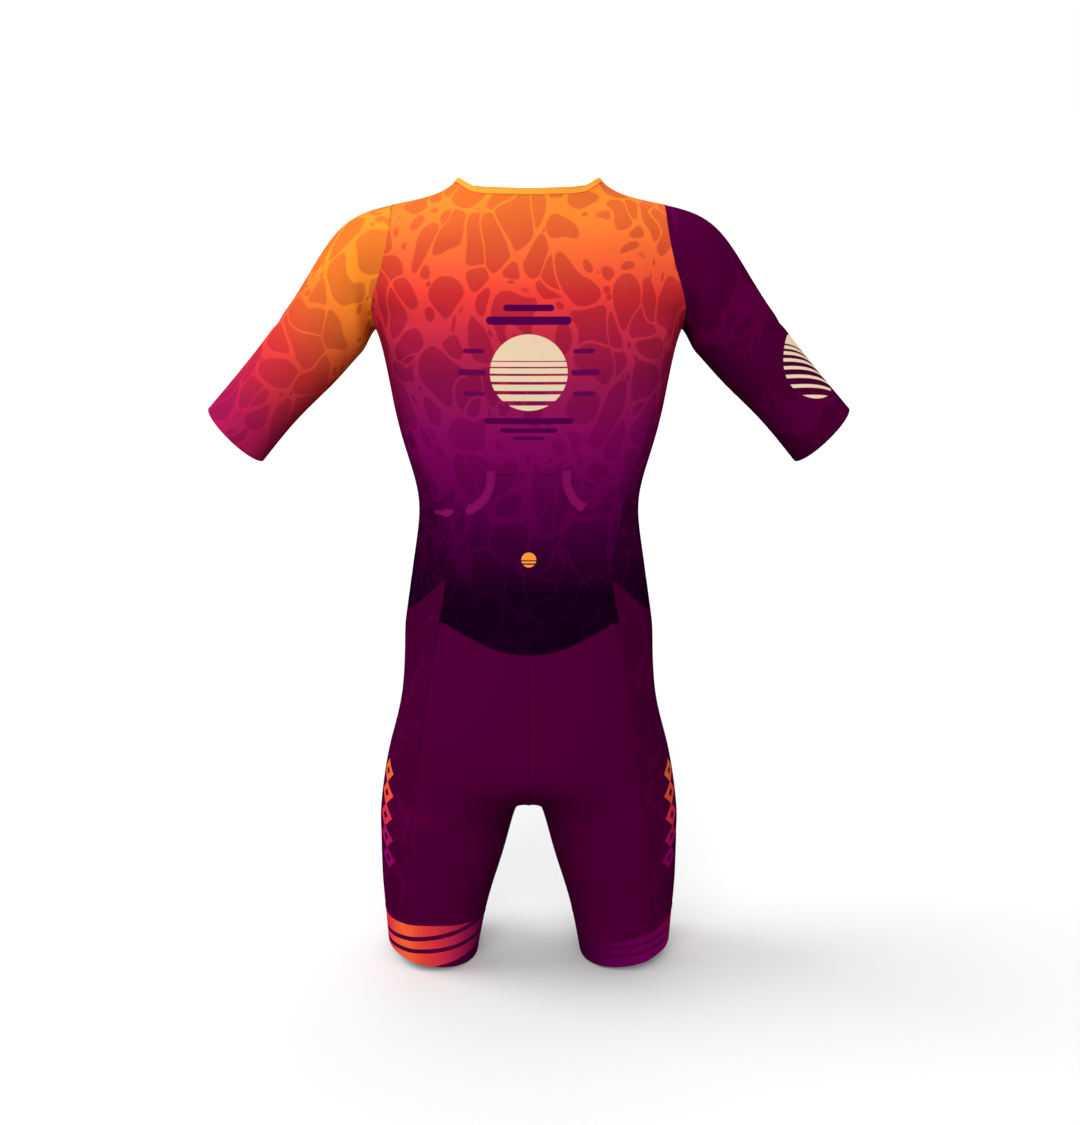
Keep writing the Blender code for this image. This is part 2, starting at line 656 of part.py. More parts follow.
def rod(shape, centre, along, radius, length, segments=16):
    """A capped cylinder along a direction."""
    along = along / np.linalg.norm(along)
    helper = np.array((0.0, 0.0, 1.0)) if abs(along[2]) < 0.9 else np.array((1.0, 0.0, 0.0))
    u = np.cross(along, helper)
    u /= np.linalg.norm(u)
    v = np.cross(along, u)
    rings = []
    for end in (-0.5, 0.5):
        ring = []
        for k in range(segments):
            a = 2 * math.pi * k / segments
            spot = centre + end * length * along + radius * (math.cos(a) * u + math.sin(a) * v)
            ring.append(shape.verts.new(tuple(spot)))
        rings.append(ring)
    for k in range(segments):
        n = (k + 1) % segments
        shape.faces.new((rings[0][k], rings[0][n], rings[1][n], rings[1][k]))
    shape.faces.new(rings[0][::-1])
    shape.faces.new(rings[1])


def build_slider(form, home, cutters):
    across = np.array((1.0, 0.0, 0.0))
    middle_z = SLIDER_TOP - SLIDER_LENGTH / 2
    y, out = front_depth(form, middle_z)
    along = np.cross(across, out)
    along /= np.linalg.norm(along)
    if along[2] < 0:
        along = -along
    base = np.array((0.0, y, middle_z))
    low = -WALL
    body = bmesh.new()
    half = (SLIDER_WIDTH / 2, SLIDER_DEPTH / 2, SLIDER_LENGTH / 2)
    add_box(body, base + out * (low + SLIDER_DEPTH / 2), half, along, across, out)
    slider = shape_object("zip_slider", body, home, "zip_metal", 0.0007)
    top = low + SLIDER_DEPTH
    pin = base + out * (top + EAR_RISE - 0.0016) + along * 0.0012
    for side, word in SIDES:
        ear = bmesh.new()
        spot = base + out * (top - 0.0006 + (EAR_RISE + 0.0006) / 2) + along * 0.0012
        spot = spot + across * side * (EAR_INSIDE + EAR_WIDTH) / 2
        half = (EAR_WIDTH / 2, (EAR_RISE + 0.0006) / 2, EAR_LENGTH / 2)
        add_box(ear, spot, half, along, across, out)
        piece = shape_object("ear_" + word, ear, cutters, "zip_metal")
        piece.hide_render = True
        boolean(slider, piece, "UNION")
    bar = bmesh.new()
    rod(bar, pin, across, BAR_RADIUS, EAR_INSIDE + EAR_WIDTH)
    piece = shape_object("bar_core", bar, cutters, "zip_metal")
    piece.hide_render = True
    boolean(slider, piece, "UNION")

    # the tab: a ring round the bar and a flat tag hanging from it
    hang = -along * math.cos(TAB_LEAN) + out * math.sin(TAB_LEAN)
    hang /= np.linalg.norm(hang)
    face = np.cross(hang, across)
    if np.dot(face, out) < 0:
        face = -face
    inner = BAR_RADIUS + EYE_CLEAR
    outer = inner + EYE_WALL
    ring = bmesh.new()
    rod(ring, pin, across, outer, EYE_WIDTH, 24)
    tab = shape_object("zip_pull_tab", ring, home, "zip_metal")
    tag = bmesh.new()
    rounds = []
    for k in range(9):
        a = math.pi * k / 8
        rounds.append((TAB_WIDTH / 2 * math.cos(a), TAB_LENGTH - TAB_WIDTH / 2 + TAB_WIDTH / 2 * math.sin(a)))
    neck = inner + 0.5 * EYE_WALL
    sides = [(EYE_WIDTH / 2 - 0.0001, neck), (EYE_WIDTH / 2 - 0.0001, 0.0050), (TAB_WIDTH / 2, 0.0085)]
    line = sides + rounds + [(-x, d) for x, d in sides[::-1]]
    low_ring = [tag.verts.new(tuple(pin + across * x + hang * d - face * TAB_THICK / 2)) for x, d in line]
    top_ring = [tag.verts.new(tuple(pin + across * x + hang * d + face * TAB_THICK / 2)) for x, d in line]
    tag.faces.new(low_ring)
    tag.faces.new(top_ring[::-1])
    for k in range(len(line)):
        n = (k + 1) % len(line)
        tag.faces.new((low_ring[k], low_ring[n], top_ring[n], top_ring[k]))
    piece = shape_object("tag_core", tag, cutters, "zip_metal")
    piece.hide_render = True
    boolean(tab, piece, "UNION")
    hole = bmesh.new()
    rod(hole, pin, across, inner, EYE_WIDTH * 3, 24)
    piece = shape_object("eye_cutter", hole, cutters, "zip_metal")
    piece.hide_render = True
    piece.display_type = "WIRE"
    boolean(tab, piece, "DIFFERENCE")
    return pin, base, out


def build_zip(form, front_faces, free_edges, home, cutters):
    """Two tapes behind the fronts and a closed coil in the slot between them."""
    points, faces, panels, normals = form
    for side, word in SIDES:
        mine = front_faces[word]
        near = mine[np.abs(points[mine][:, :, 0]).min(axis=1) < 0.02]
        low = -WALL - LAY_GAP - TAPE_WALL
        shell = wall(points, near, normals, low, -WALL - LAY_GAP, free_edges, SEAM_GAP)
        tape = mesh_object("zip_tape_" + word, *shell, home, "zip_tape")
        x_low, x_high = sorted((-0.01 * side, TAPE_WIDTH * side))
        cutter = prism("tape_cutter_" + word, box_outline(x_low, x_high, ZIP_END + 0.004, ZIP_TOP), -0.2, 0.0, cutters)
        boolean(tape, cutter, "INTERSECT")
    both = np.concatenate([front_faces["left"], front_faces["right"]])
    near = both[np.abs(points[both][:, :, 0]).min(axis=1) < 0.02]
    shell = wall(points, near, normals, -WALL, COIL_RISE, free_edges, SEAM_GAP)
    coil = mesh_object("zip_coil", *shell, home, "zip_plastic")
    top = SLIDER_TOP - SLIDER_LENGTH - 0.0004
    cutter = prism("coil_cutter", box_outline(-COIL_HALF, COIL_HALF, ZIP_END, top), -0.2, 0.0, cutters)
    boolean(coil, cutter, "INTERSECT")


# ---------------------------------------------------------------- whole suit
def build():
    clear_scene()
    home = collection("cycling_skinsuit")
    cutters = collection("guides_and_cutters", helper=True)
    form = smooth_form(build_cage(), cutters)
    points, faces, panels, normals = form
    free_edges = {edge for edge, used in edge_uses(faces).items() if len(used) == 1}
    slot_cut = prism("slot_cutter", box_outline(-SLOT_HALF, SLOT_HALF, ZIP_END, 0.05), -0.2, -0.02, cutters)
    fronts = {}
    for name, slot in PANELS:
        mine = faces[panels == PANEL_INDEX[name]]
        shell = wall(points, mine, normals, -WALL, 0.0, free_edges, SEAM_GAP)
        piece = mesh_object(name, *shell, home, slot)
        if name.startswith("front_"):
            fronts[name[6:]] = mine
            boolean(piece, slot_cut, "DIFFERENCE")
        if name == "neck_binding":
            boolean(piece, slot_cut, "DIFFERENCE")
        if name == "back_panel":
            build_pocket(form, mine, free_edges, home, cutters)
    build_zip(form, fronts, free_edges, home, cutters)
    pin, base, out = build_slider(form, home, cutters)
    print("pull tab bar", pin.round(5), "slider", base.round(5), out.round(4))


build()
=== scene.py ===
import math

import bmesh
import bpy
import numpy as np
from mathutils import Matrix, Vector
from mathutils.bvhtree import BVHTree
from mathutils.kdtree import KDTree


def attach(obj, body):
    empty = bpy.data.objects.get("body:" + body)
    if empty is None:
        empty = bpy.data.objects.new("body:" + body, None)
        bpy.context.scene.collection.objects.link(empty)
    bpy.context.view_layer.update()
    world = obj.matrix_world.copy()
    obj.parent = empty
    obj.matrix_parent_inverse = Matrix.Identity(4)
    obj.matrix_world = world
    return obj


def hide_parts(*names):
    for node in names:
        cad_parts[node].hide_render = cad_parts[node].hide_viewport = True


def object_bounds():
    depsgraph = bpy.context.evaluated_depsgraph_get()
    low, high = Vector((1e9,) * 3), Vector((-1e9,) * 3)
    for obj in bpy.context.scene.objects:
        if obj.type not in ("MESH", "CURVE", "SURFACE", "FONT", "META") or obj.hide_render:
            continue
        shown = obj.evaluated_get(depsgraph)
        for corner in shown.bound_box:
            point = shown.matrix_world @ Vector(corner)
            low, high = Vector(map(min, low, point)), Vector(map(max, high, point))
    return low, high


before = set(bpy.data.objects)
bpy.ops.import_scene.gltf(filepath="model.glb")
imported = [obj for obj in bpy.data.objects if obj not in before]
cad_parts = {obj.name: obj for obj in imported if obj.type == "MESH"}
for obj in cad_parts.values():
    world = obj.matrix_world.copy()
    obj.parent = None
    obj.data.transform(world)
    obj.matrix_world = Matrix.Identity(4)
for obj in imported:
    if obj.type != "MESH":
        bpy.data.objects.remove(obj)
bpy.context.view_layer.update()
home = bpy.context.scene.collection
print("frame loaded:", len(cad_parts), "nodes")

# metres, +Z up, front towards -Y, wearer's left towards +X
suit = {
    "smoothing": 3,          # subdivision of the form that the panels are cut from
    "pullRounds": 5,         # how often the coarse form is drawn towards the table's points
    "cloth": 0.0008,         # thickness of the knit
    "seamGap": 0.0003,       # between neighbouring panels
    "layGap": 0.0003,        # between a panel and what lies on it
    "softEdge": 0.00025,     # rounding of the cut edges
    "bindingEdge": 0.0006,   # the same on the neck binding
    "sharpAngle": math.radians(40),
    "bindingWall": (-0.0013, 0.0003),
    "neckBinding": 0.007,    # width of the neck binding
    "shoulderSag": 0.004,
    "columns": (0, 5, 7, 9, 14),  # of the form: centre front, front seam, side, back seam, centre back
    "neckColumn": 3, "rowsUp": 5, "inseam": 16, "bandRing": 3,
    # height, half width, front and back depth, roundness, front and back seam as parts of the half width
    "sections": [
        (-0.120, 0.180, -0.113, 0.106, 2.5, 0.90, 0.988),
        (-0.150, 0.175, -0.115, 0.106, 2.5, 0.89, 0.984),
        (-0.188, 0.164, -0.117, 0.104, 2.5, 0.86, 0.955),
        (-0.225, 0.158, -0.115, 0.100, 2.4, 0.83, 0.910),
        (-0.263, 0.149, -0.110, 0.094, 2.4, 0.81, 0.875),
        (-0.301, 0.139, -0.105, 0.088, 2.3, 0.80, 0.855),
        (-0.344, 0.1295, -0.101, 0.084, 2.3, 0.79, 0.835),
        (-0.368, 0.1300, -0.100, 0.084, 2.3, 0.79, 0.790),
        (-0.392, 0.1325, -0.100, 0.086, 2.3, 0.79, 0.740),
        (-0.417, 0.1370, -0.101, 0.090, 2.3, 0.79, 0.693),
        (-0.441, 0.1410, -0.102, 0.095, 2.3, 0.79, 0.695),
        (-0.466, 0.1435, -0.103, 0.101, 2.3, 0.79, 0.710),
        (-0.515, 0.1480, -0.104, 0.113, 2.3, 0.79, 0.755),
        (-0.565, 0.1500, -0.103, 0.122, 2.4, 0.79, 0.785),
        (-0.590, 0.1540, -0.102, 0.125, 2.4, 0.79, 0.790),
        (-0.616, 0.1610, -0.101, 0.126, 2.4, 0.79, 0.782),
        (-0.641, 0.1670, -0.100, 0.124, 2.4, 0.79, 0.772),
        (-0.667, 0.1710, -0.099, 0.119, 2.5, 0.79, 0.765),
        (-0.692, 0.1760, -0.099, 0.112, 2.5, 0.79, 0.760),
        (-0.718, 0.1780, -0.099, 0.105, 2.5, 0.79, 0.760),
    ],
    # heights at centre front, front seam, side, back seam and centre back, and how late the line turns
    "bodyRows": [
        ("armpit", -0.160, -0.138, -0.146, -0.134, -0.158, 1.0),
        ("chest", -0.204, -0.192, -0.194, -0.186, -0.200, 1.0),
        ("ribs", -0.250, -0.242, -0.242, -0.238, -0.245, 1.0),
        ("pocket", -0.300, -0.292, -0.290, -0.285, -0.290, 1.0),
        ("waist", -0.356, -0.346, -0.342, -0.334, -0.342, 1.0),
        ("lower", -0.424, -0.410, -0.402, -0.380, -0.400, 1.4),
        ("waistSeam", -0.500, -0.482, -0.472, -0.421, -0.452, 1.9),
        ("tail", -0.548, -0.526, -0.506, -0.472, -0.501, 0.7),
        ("seat", -0.604, -0.590, -0.576, -0.545, -0.560, 1.0),
        ("seatLow", -0.652, -0.642, -0.638, -0.622, -0.616, 1.0),
        ("rise", -0.690, -0.695, -0.696, -0.694, -0.668, 1.0),
    ],
    # armhole edge x, y, z and centre y, z, at the back and then at the front
    "upperRows": [
        (0.1765, 0.053, -0.104, 0.107, -0.120, 0.1520, -0.070, -0.108, -0.117, -0.128),
        (0.1660, 0.062, -0.072, 0.104, -0.083, 0.1440, -0.073, -0.076, -0.111, -0.100),
        (0.1580, 0.059, -0.040, 0.096, -0.047, 0.1430, -0.063, -0.043, -0.102, -0.076),
        (0.1545, 0.036, -0.0125, 0.084, -0.014, 0.1490, -0.038, -0.014, -0.091, -0.055),
    ],
    "shoulderPoint": (0.1540, -0.001, -0.0020),
    # top of the neck binding from centre front to centre back, and the way it runs on
    "neckEdge": [
        (0.0000, -0.078, -0.036, 0.00, 0.30, 0.95),
        (0.0360, -0.068, -0.029, -0.25, 0.30, 0.92),
        (0.0660, -0.041, -0.008, -0.60, 0.30, 0.74),
        (0.0790, -0.001, 0.0255, -0.90, 0.00, 0.42),
        (0.0620, 0.043, 0.0220, -0.55, -0.40, 0.73),
        (0.0330, 0.060, 0.0208, -0.25, -0.45, 0.85),
        (0.0000, 0.064, 0.0203, 0.00, -0.45, 0.89),
    ],
    "evenColumns": (0.0, 0.2, 0.4, 0.6, 0.8, 1.0),
    "topColumns": (0.0, 0.22, 0.41, 0.555, 0.765, 1.0),
    # outer and under point (x, z), middle y and half depth
    "sleeveRings": [
        (0.2030, -0.0190, 0.1870, -0.1610, -0.002, 0.067),
        (0.2400, -0.0610, 0.1990, -0.1760, -0.003, 0.062),
        (0.2730, -0.1120, 0.2280, -0.2080, -0.004, 0.056),
        (0.3220, -0.1760, 0.2690, -0.2480, -0.007, 0.050),
        (0.3740, -0.2365, 0.3115, -0.2985, -0.011, 0.0465),
    ],
    "crotchLine": [(0.078, -0.6960), (0.030, -0.7070), (-0.020, -0.7080), (-0.068, -0.7020)],
    # inner and outer x, front and back y, then the heights in front, outside, behind and inside
    "legRings": [
        (0.0140, 0.1800, -0.092, 0.100, -0.7220, -0.7330, -0.7130, -0.7180),
        (0.0280, 0.1800, -0.092, 0.091, -0.7690, -0.7730, -0.7630, -0.7680),
        (0.0430, 0.1795, -0.087, 0.081, -0.8140, -0.8130, -0.8080, -0.8190),
        (0.0535, 0.1770, -0.082, 0.074, -0.8560, -0.8520, -0.8450, -0.8610),
        (0.0630, 0.1738, -0.077, 0.071, -0.9030, -0.8930, -0.9050, -0.9110),
    ],
    "topAngles": (-52, -38, -22, -4, 16, 38, 64, 92, 121, 150, 167, 184, 201, 217, 232, 248, 263, 278, 293),
    "lowAngles": (-28, -13, 2, 18, 34, 50, 72, 98, 125, 152, 165, 177, 189, 202, 216, 236, 260, 284, 308),
    "angleBlend": (0.0, 0.4, 0.75, 1.0, 1.0),
}
panelNames = [
    "backPanel", "frontLeft", "frontRight", "sideLeft", "sideRight", "sleeveLeft", "sleeveRight",
    "neckBinding", "shortsBackLeft", "shortsBackRight", "shortsFrontLeft", "shortsFrontRight",
    "shortsSideLeft", "shortsSideRight", "legBandLeft", "legBandRight",
]
bothSides = ((1, "Left"), (-1, "Right"))
frontSeam, sideLine, backSeam, centreBack = suit["columns"][1:]
neckColumn, rowsUp = suit["neckColumn"], suit["rowsUp"]


def bodyPoint(column, z):
    # the trunk's section at a height, its numbers on smooth curves through the rows of the table
    table = np.array(suit["sections"])[::-1]
    heights = table[:, 0]
    slopes = np.gradient(table, heights, axis=0)
    i = int(np.clip(np.searchsorted(heights, z) - 1, 0, len(heights) - 2))
    step = heights[i + 1] - heights[i]
    t = float(np.clip((z - heights[i]) / step, 0, 1))
    values = (1 + 2 * t) * (1 - t) ** 2 * table[i] + t * (1 - t) ** 2 * step * slopes[i]
    values += t * t * (3 - 2 * t) * table[i + 1] + t * t * (t - 1) * step * slopes[i + 1]
    half, front, back, power, frontPart, backPart = values[1:]
    atFront = math.asin(frontPart ** (power / 2))
    atBack = math.pi - math.asin(backPart ** (power / 2))
    angle = np.interp(column, (0, frontSeam, backSeam, centreBack), (0, atFront, atBack, math.pi))
    side, along = abs(math.sin(angle)), math.cos(angle)
    middle = 0.5 * (front + back)
    reach = (middle - front) if along > 0 else (back - middle)
    x = 0.0 if column in (0, centreBack) else half * side ** (2 / power)
    return (x, middle - math.copysign(abs(along) ** (2 / power), along) * reach, z)


def rowHeight(row, column):
    heights, turn = row[1:-1], row[-1]
    places = suit["columns"]
    i = next(i for i in range(4) if column <= places[i + 1])
    t = (column - places[i]) / (places[i + 1] - places[i])
    t = t * t * (3 - 2 * t) if i in (0, 3) else t**turn if i == 2 else t
    return heights[i] + (heights[i + 1] - heights[i]) * t


def neckPoint(column):
    x, y, z, *way = suit["neckEdge"][column]
    top = np.array((x, y, z))
    return top - suit["neckBinding"] * (np.array(way) / np.linalg.norm(way)), top


def upperPoint(column, level):
    isBack = column >= backSeam
    step = centreBack - column if isBack else column
    parts = suit["topColumns"]
    if level == rowsUp:
        if step <= neckColumn:
            return neckPoint(2 * neckColumn - step if isBack else step)[0]
        low = neckPoint(neckColumn)[0]
        t = (parts[step] - parts[neckColumn]) / (1 - parts[neckColumn])
        point = low + (np.array(suit["shoulderPoint"]) - low) * t
        point[2] -= suit["shoulderSag"] * math.sin(math.pi * t)
        return point
    row = suit["upperRows"][level - 1]
    x, y, z, midY, midZ = row[:5] if isBack else row[5:]
    blend = level / rowsUp
    part = suit["evenColumns"][step] * (1 - blend) + parts[step] * blend
    return np.array((x * part, midY + (y - midY) * part**2.4, midZ + (z - midZ) * part**1.6))


def sleevePoint(ring, place, places):
    outX, outZ, underX, underZ, midY, depth = suit["sleeveRings"][ring]
    angle = 2 * math.pi * place / places
    middle = 0.5 * np.array((outX + underX, 2 * midY, outZ + underZ))
    up = 0.5 * np.array((outX - underX, 0, outZ - underZ))
    return middle - up * math.cos(angle) + np.array((0, depth, 0)) * math.sin(angle)


def legPoint(ring, column):
    inX, outX, frontY, backY, zFront, zOuter, zBack, zInner = suit["legRings"][ring]
    blend = suit["angleBlend"][ring]
    angle = math.radians(suit["topAngles"][column] * (1 - blend) + suit["lowAngles"][column] * blend)
    side, along = math.sin(angle), -math.cos(angle)
    x = 0.5 * (inX + outX) + 0.5 * (outX - inX) * math.copysign(abs(side) ** 0.92, side)
    y = 0.5 * (frontY + backY) + 0.5 * (backY - frontY) * math.copysign(abs(along) ** 0.92, along)
    z = 0.5 * (zOuter + zInner) + 0.5 * (zOuter - zInner) * side
    z += 0.5 * (zBack - zFront) * along + (0.5 * (zBack + zFront) - 0.5 * (zOuter + zInner)) * along**2
    return (x, y, z)


class Cage:
    # the coarse form: points shared by name, faces with their panel and their place on the flat cloth
    def __init__(self):
        self.index, self.points, self.faces, self.panels, self.flats = {}, [], [], [], []

    def vertex(self, key, point, side):
        key = key if abs(point[0]) < 1e-9 else (side, *key)
        if key not in self.index:
            self.index[key] = len(self.points)
            self.points.append((point[0] * side, point[1], point[2]))
        return self.index[key]

    def unroll(self, grid, start=0.0, closed=False):
        # the length along each row of a grid, and the mean height of each row
        places = np.array([[self.points[i] for i in row + row[:1] * closed] for row in grid])
        across = np.linalg.norm(np.diff(places, axis=1), axis=2)
        down = np.linalg.norm(np.diff(places, axis=0), axis=2).mean(axis=1)
        lengths = np.concatenate([np.zeros((len(grid), 1)), np.cumsum(across, axis=1)], axis=1)
        return lengths, start - np.concatenate([[0], np.cumsum(down)])

    def patch(self, grid, lengths, heights, side, choose, order=(0, 1, 2, 3)):
        # a face for each square of a grid; choose gives its panel, and the column and drop its flat place starts at
        for r in range(len(grid) - 1):
            for c in range(len(lengths[0]) - 1):
                panel, start, drop = choose(r, c) if callable(choose) else choose
                square = ((r, c), (r + 1, c), (r + 1, c + 1), (r, c + 1))
                corners = [square[i] for i in order][::side]
                self.faces.append([grid[a][b % len(grid[0])] for a, b in corners])
                self.flats += [(lengths[a][b] - lengths[a][start], heights[a] - drop) for a, b in corners]
                self.panels.append(panelNames.index(panel))


def buildCage():
    cage = Cage()
    rows = suit["bodyRows"]
    seamRow, tailRow = ([row[0] for row in rows].index(name) for name in ("waistSeam", "tail"))
    across, turned = (0, 3, 2, 1), (1, 2, 3, 0)
    frontColumns, backColumns = list(range(frontSeam + 1)), list(range(backSeam, centreBack + 1))
    for side, word in bothSides:

        def trunkPanel(r, c):
            if c < frontSeam:
                return ("front" if r < seamRow else "shortsFront") + word, 0, 0.0
            if c < backSeam:
                return ("side" if r < seamRow else "shortsSide") + word, sideLine, 0.0
            return "backPanel" if r < tailRow else "shortsBack" + word, centreBack, 0.0

        def legPanel(r, c):
            if r > suit["bandRing"]:
                return "legBand" + word, sideLine, tall[-1]
            return ("shortsFront" + word, len(loop), 0.0) if c >= suit["inseam"] else trunkPanel(len(rows), c)

        body = [[cage.vertex(("body", r, c), bodyPoint(c, rowHeight(row, c)), side) for c in range(centreBack + 1)]
                for r, row in enumerate(rows)]
        lengths, heights = cage.unroll(body)
        cage.patch(body, lengths, heights, side, trunkPanel)

        # front and back above the armpit
        upper = {}
        for c in frontColumns + backColumns:
            upper[0, c] = body[0][c]
            step = centreBack - c if c >= backSeam else c
            for level in range(1, rowsUp + 1):
                key = ("shoulder", step) if level == rowsUp and step >= neckColumn else ("upper", level, c)
                upper[level, c] = cage.vertex(key, upperPoint(c, level), side)
        halves = (("front" + word, 1, frontColumns, across), ("backPanel", -1, backColumns[::-1], turned))
        for name, sign, part, order in halves:
            grid = [[upper[level, c] for c in part] for level in range(rowsUp + 1)]
            wide, tall = cage.unroll(grid)
            cage.patch(grid, sign * wide, -tall, side, (name, 0, 0.0), order)

        # neck binding
        steps = range(2 * neckColumn + 1)
        lower = [upper[rowsUp, s if s <= neckColumn else centreBack - 2 * neckColumn + s] for s in steps]
        over = [cage.vertex(("edge", s), neckPoint(s)[1], side) for s in steps]
        wide = cage.unroll([lower, over])[0][0]
        cage.patch([lower, over], [wide, wide], (0, suit["neckBinding"]), side, ("neckBinding", 0, 0.0), across)

        # sleeve, from the armhole: underarm, back edge, shoulder point, front edge
        loop = body[0][sideLine : backSeam + 1] + [upper[level, backSeam] for level in range(1, rowsUp + 1)]
        loop += [upper[level, frontSeam] for level in range(rowsUp - 1, 0, -1)] + body[0][frontSeam:sideLine]
        rings = [loop]
        for r in range(len(suit["sleeveRings"])):
            rings.append([cage.vertex(("sleeve", r, k), sleevePoint(r, k, len(loop)), side) for k in range(len(loop))])
        wide, tall = cage.unroll(rings, closed=True)
        cage.patch(rings, wide, tall, side, ("sleeve" + word, len(loop) // 2, 0.0), across)

        # leg, from the lowest body row and the crotch line
        loop = body[-1] + [cage.vertex(("crotch", i), (0.0, *spot), side) for i, spot in enumerate(suit["crotchLine"])]
        rings = [loop]
        for r in range(len(suit["legRings"])):
            rings.append([cage.vertex(("leg", r, c), legPoint(r, c), side) for c in range(len(loop))])
        wide, tall = cage.unroll(rings, heights[-1], closed=True)
        cage.patch(rings, wide, tall, side, legPanel)
    return cage


def newMesh(name, spots, quads, edges=()):
    mesh = bpy.data.meshes.new(name)
    mesh.from_pydata([tuple(p) for p in spots], edges, quads)
    mesh.update()
    return mesh


def placed(name, data):
    thing = bpy.data.objects.new(name, data)
    home.objects.link(thing)
    return thing


def evaluated(thing):
    # the mesh of an object with its modifiers applied
    graph = bpy.context.evaluated_depsgraph_get()
    graph.update()
    return bpy.data.meshes.new_from_object(thing.evaluated_get(graph), depsgraph=graph)


def settled(thing):
    # the object again as a plain smooth mesh
    name, mesh = thing.name, evaluated(thing)
    bpy.data.objects.remove(thing)
    mesh.name = name
    mesh.shade_smooth()
    return placed(name, mesh)


def readMesh(mesh):
    spots = np.empty(len(mesh.vertices) * 3)
    mesh.vertices.foreach_get("co", spots)
    corners = np.empty(len(mesh.loops), int)
    mesh.loops.foreach_get("vertex_index", corners)
    return spots.reshape(-1, 3), corners.reshape(-1, 4)


def smoothForm(cage):
    # the cage smoothed so that its surface passes through the table's points, as the solids' form does
    wanted = np.array(cage.points)
    mesh = newMesh("formCage", wanted, cage.faces)
    guide = placed("formCage", mesh)
    mesh.uv_layers.new(name="flat").data.foreach_set("uv", np.array(cage.flats, np.float32).ravel())
    smooth = guide.modifiers.new("Smooth", "SUBSURF")
    smooth.use_limit_surface = True
    smooth.levels = smooth.render_levels = 1
    drawn = wanted.copy()
    for _ in range(suit["pullRounds"]):
        drawn += 0.9 * (wanted - readMesh(evaluated(guide))[0][: len(wanted)])
        mesh.vertices.foreach_set("co", drawn.ravel())
        mesh.update()
    smooth.levels = smooth.render_levels = suit["smoothing"]
    fine = evaluated(guide)
    spots, quads = readMesh(fine)
    flats = np.empty(len(fine.loops) * 2, np.float32)
    fine.uv_layers[0].data.foreach_get("uv", flats)
    bpy.data.objects.remove(guide)
    return spots, quads, np.repeat(cage.panels, len(quads) // len(cage.faces)), flats.reshape(-1, 4, 2)


def normalsOf(spots, quads):
    mesh = newMesh("normals", spots, quads.tolist())
    found = np.empty(len(spots) * 3)
    mesh.vertices.foreach_get("normal", found)
    bpy.data.meshes.remove(mesh)
    return found.reshape(-1, 3)


def edgeUses(quads):
    uses = {}
    for f, face in enumerate(quads.tolist()):
        for a, b in zip(face, face[1:] + face[:1]):
            uses.setdefault((min(a, b), max(a, b)), []).append((a, b, f))
    return uses


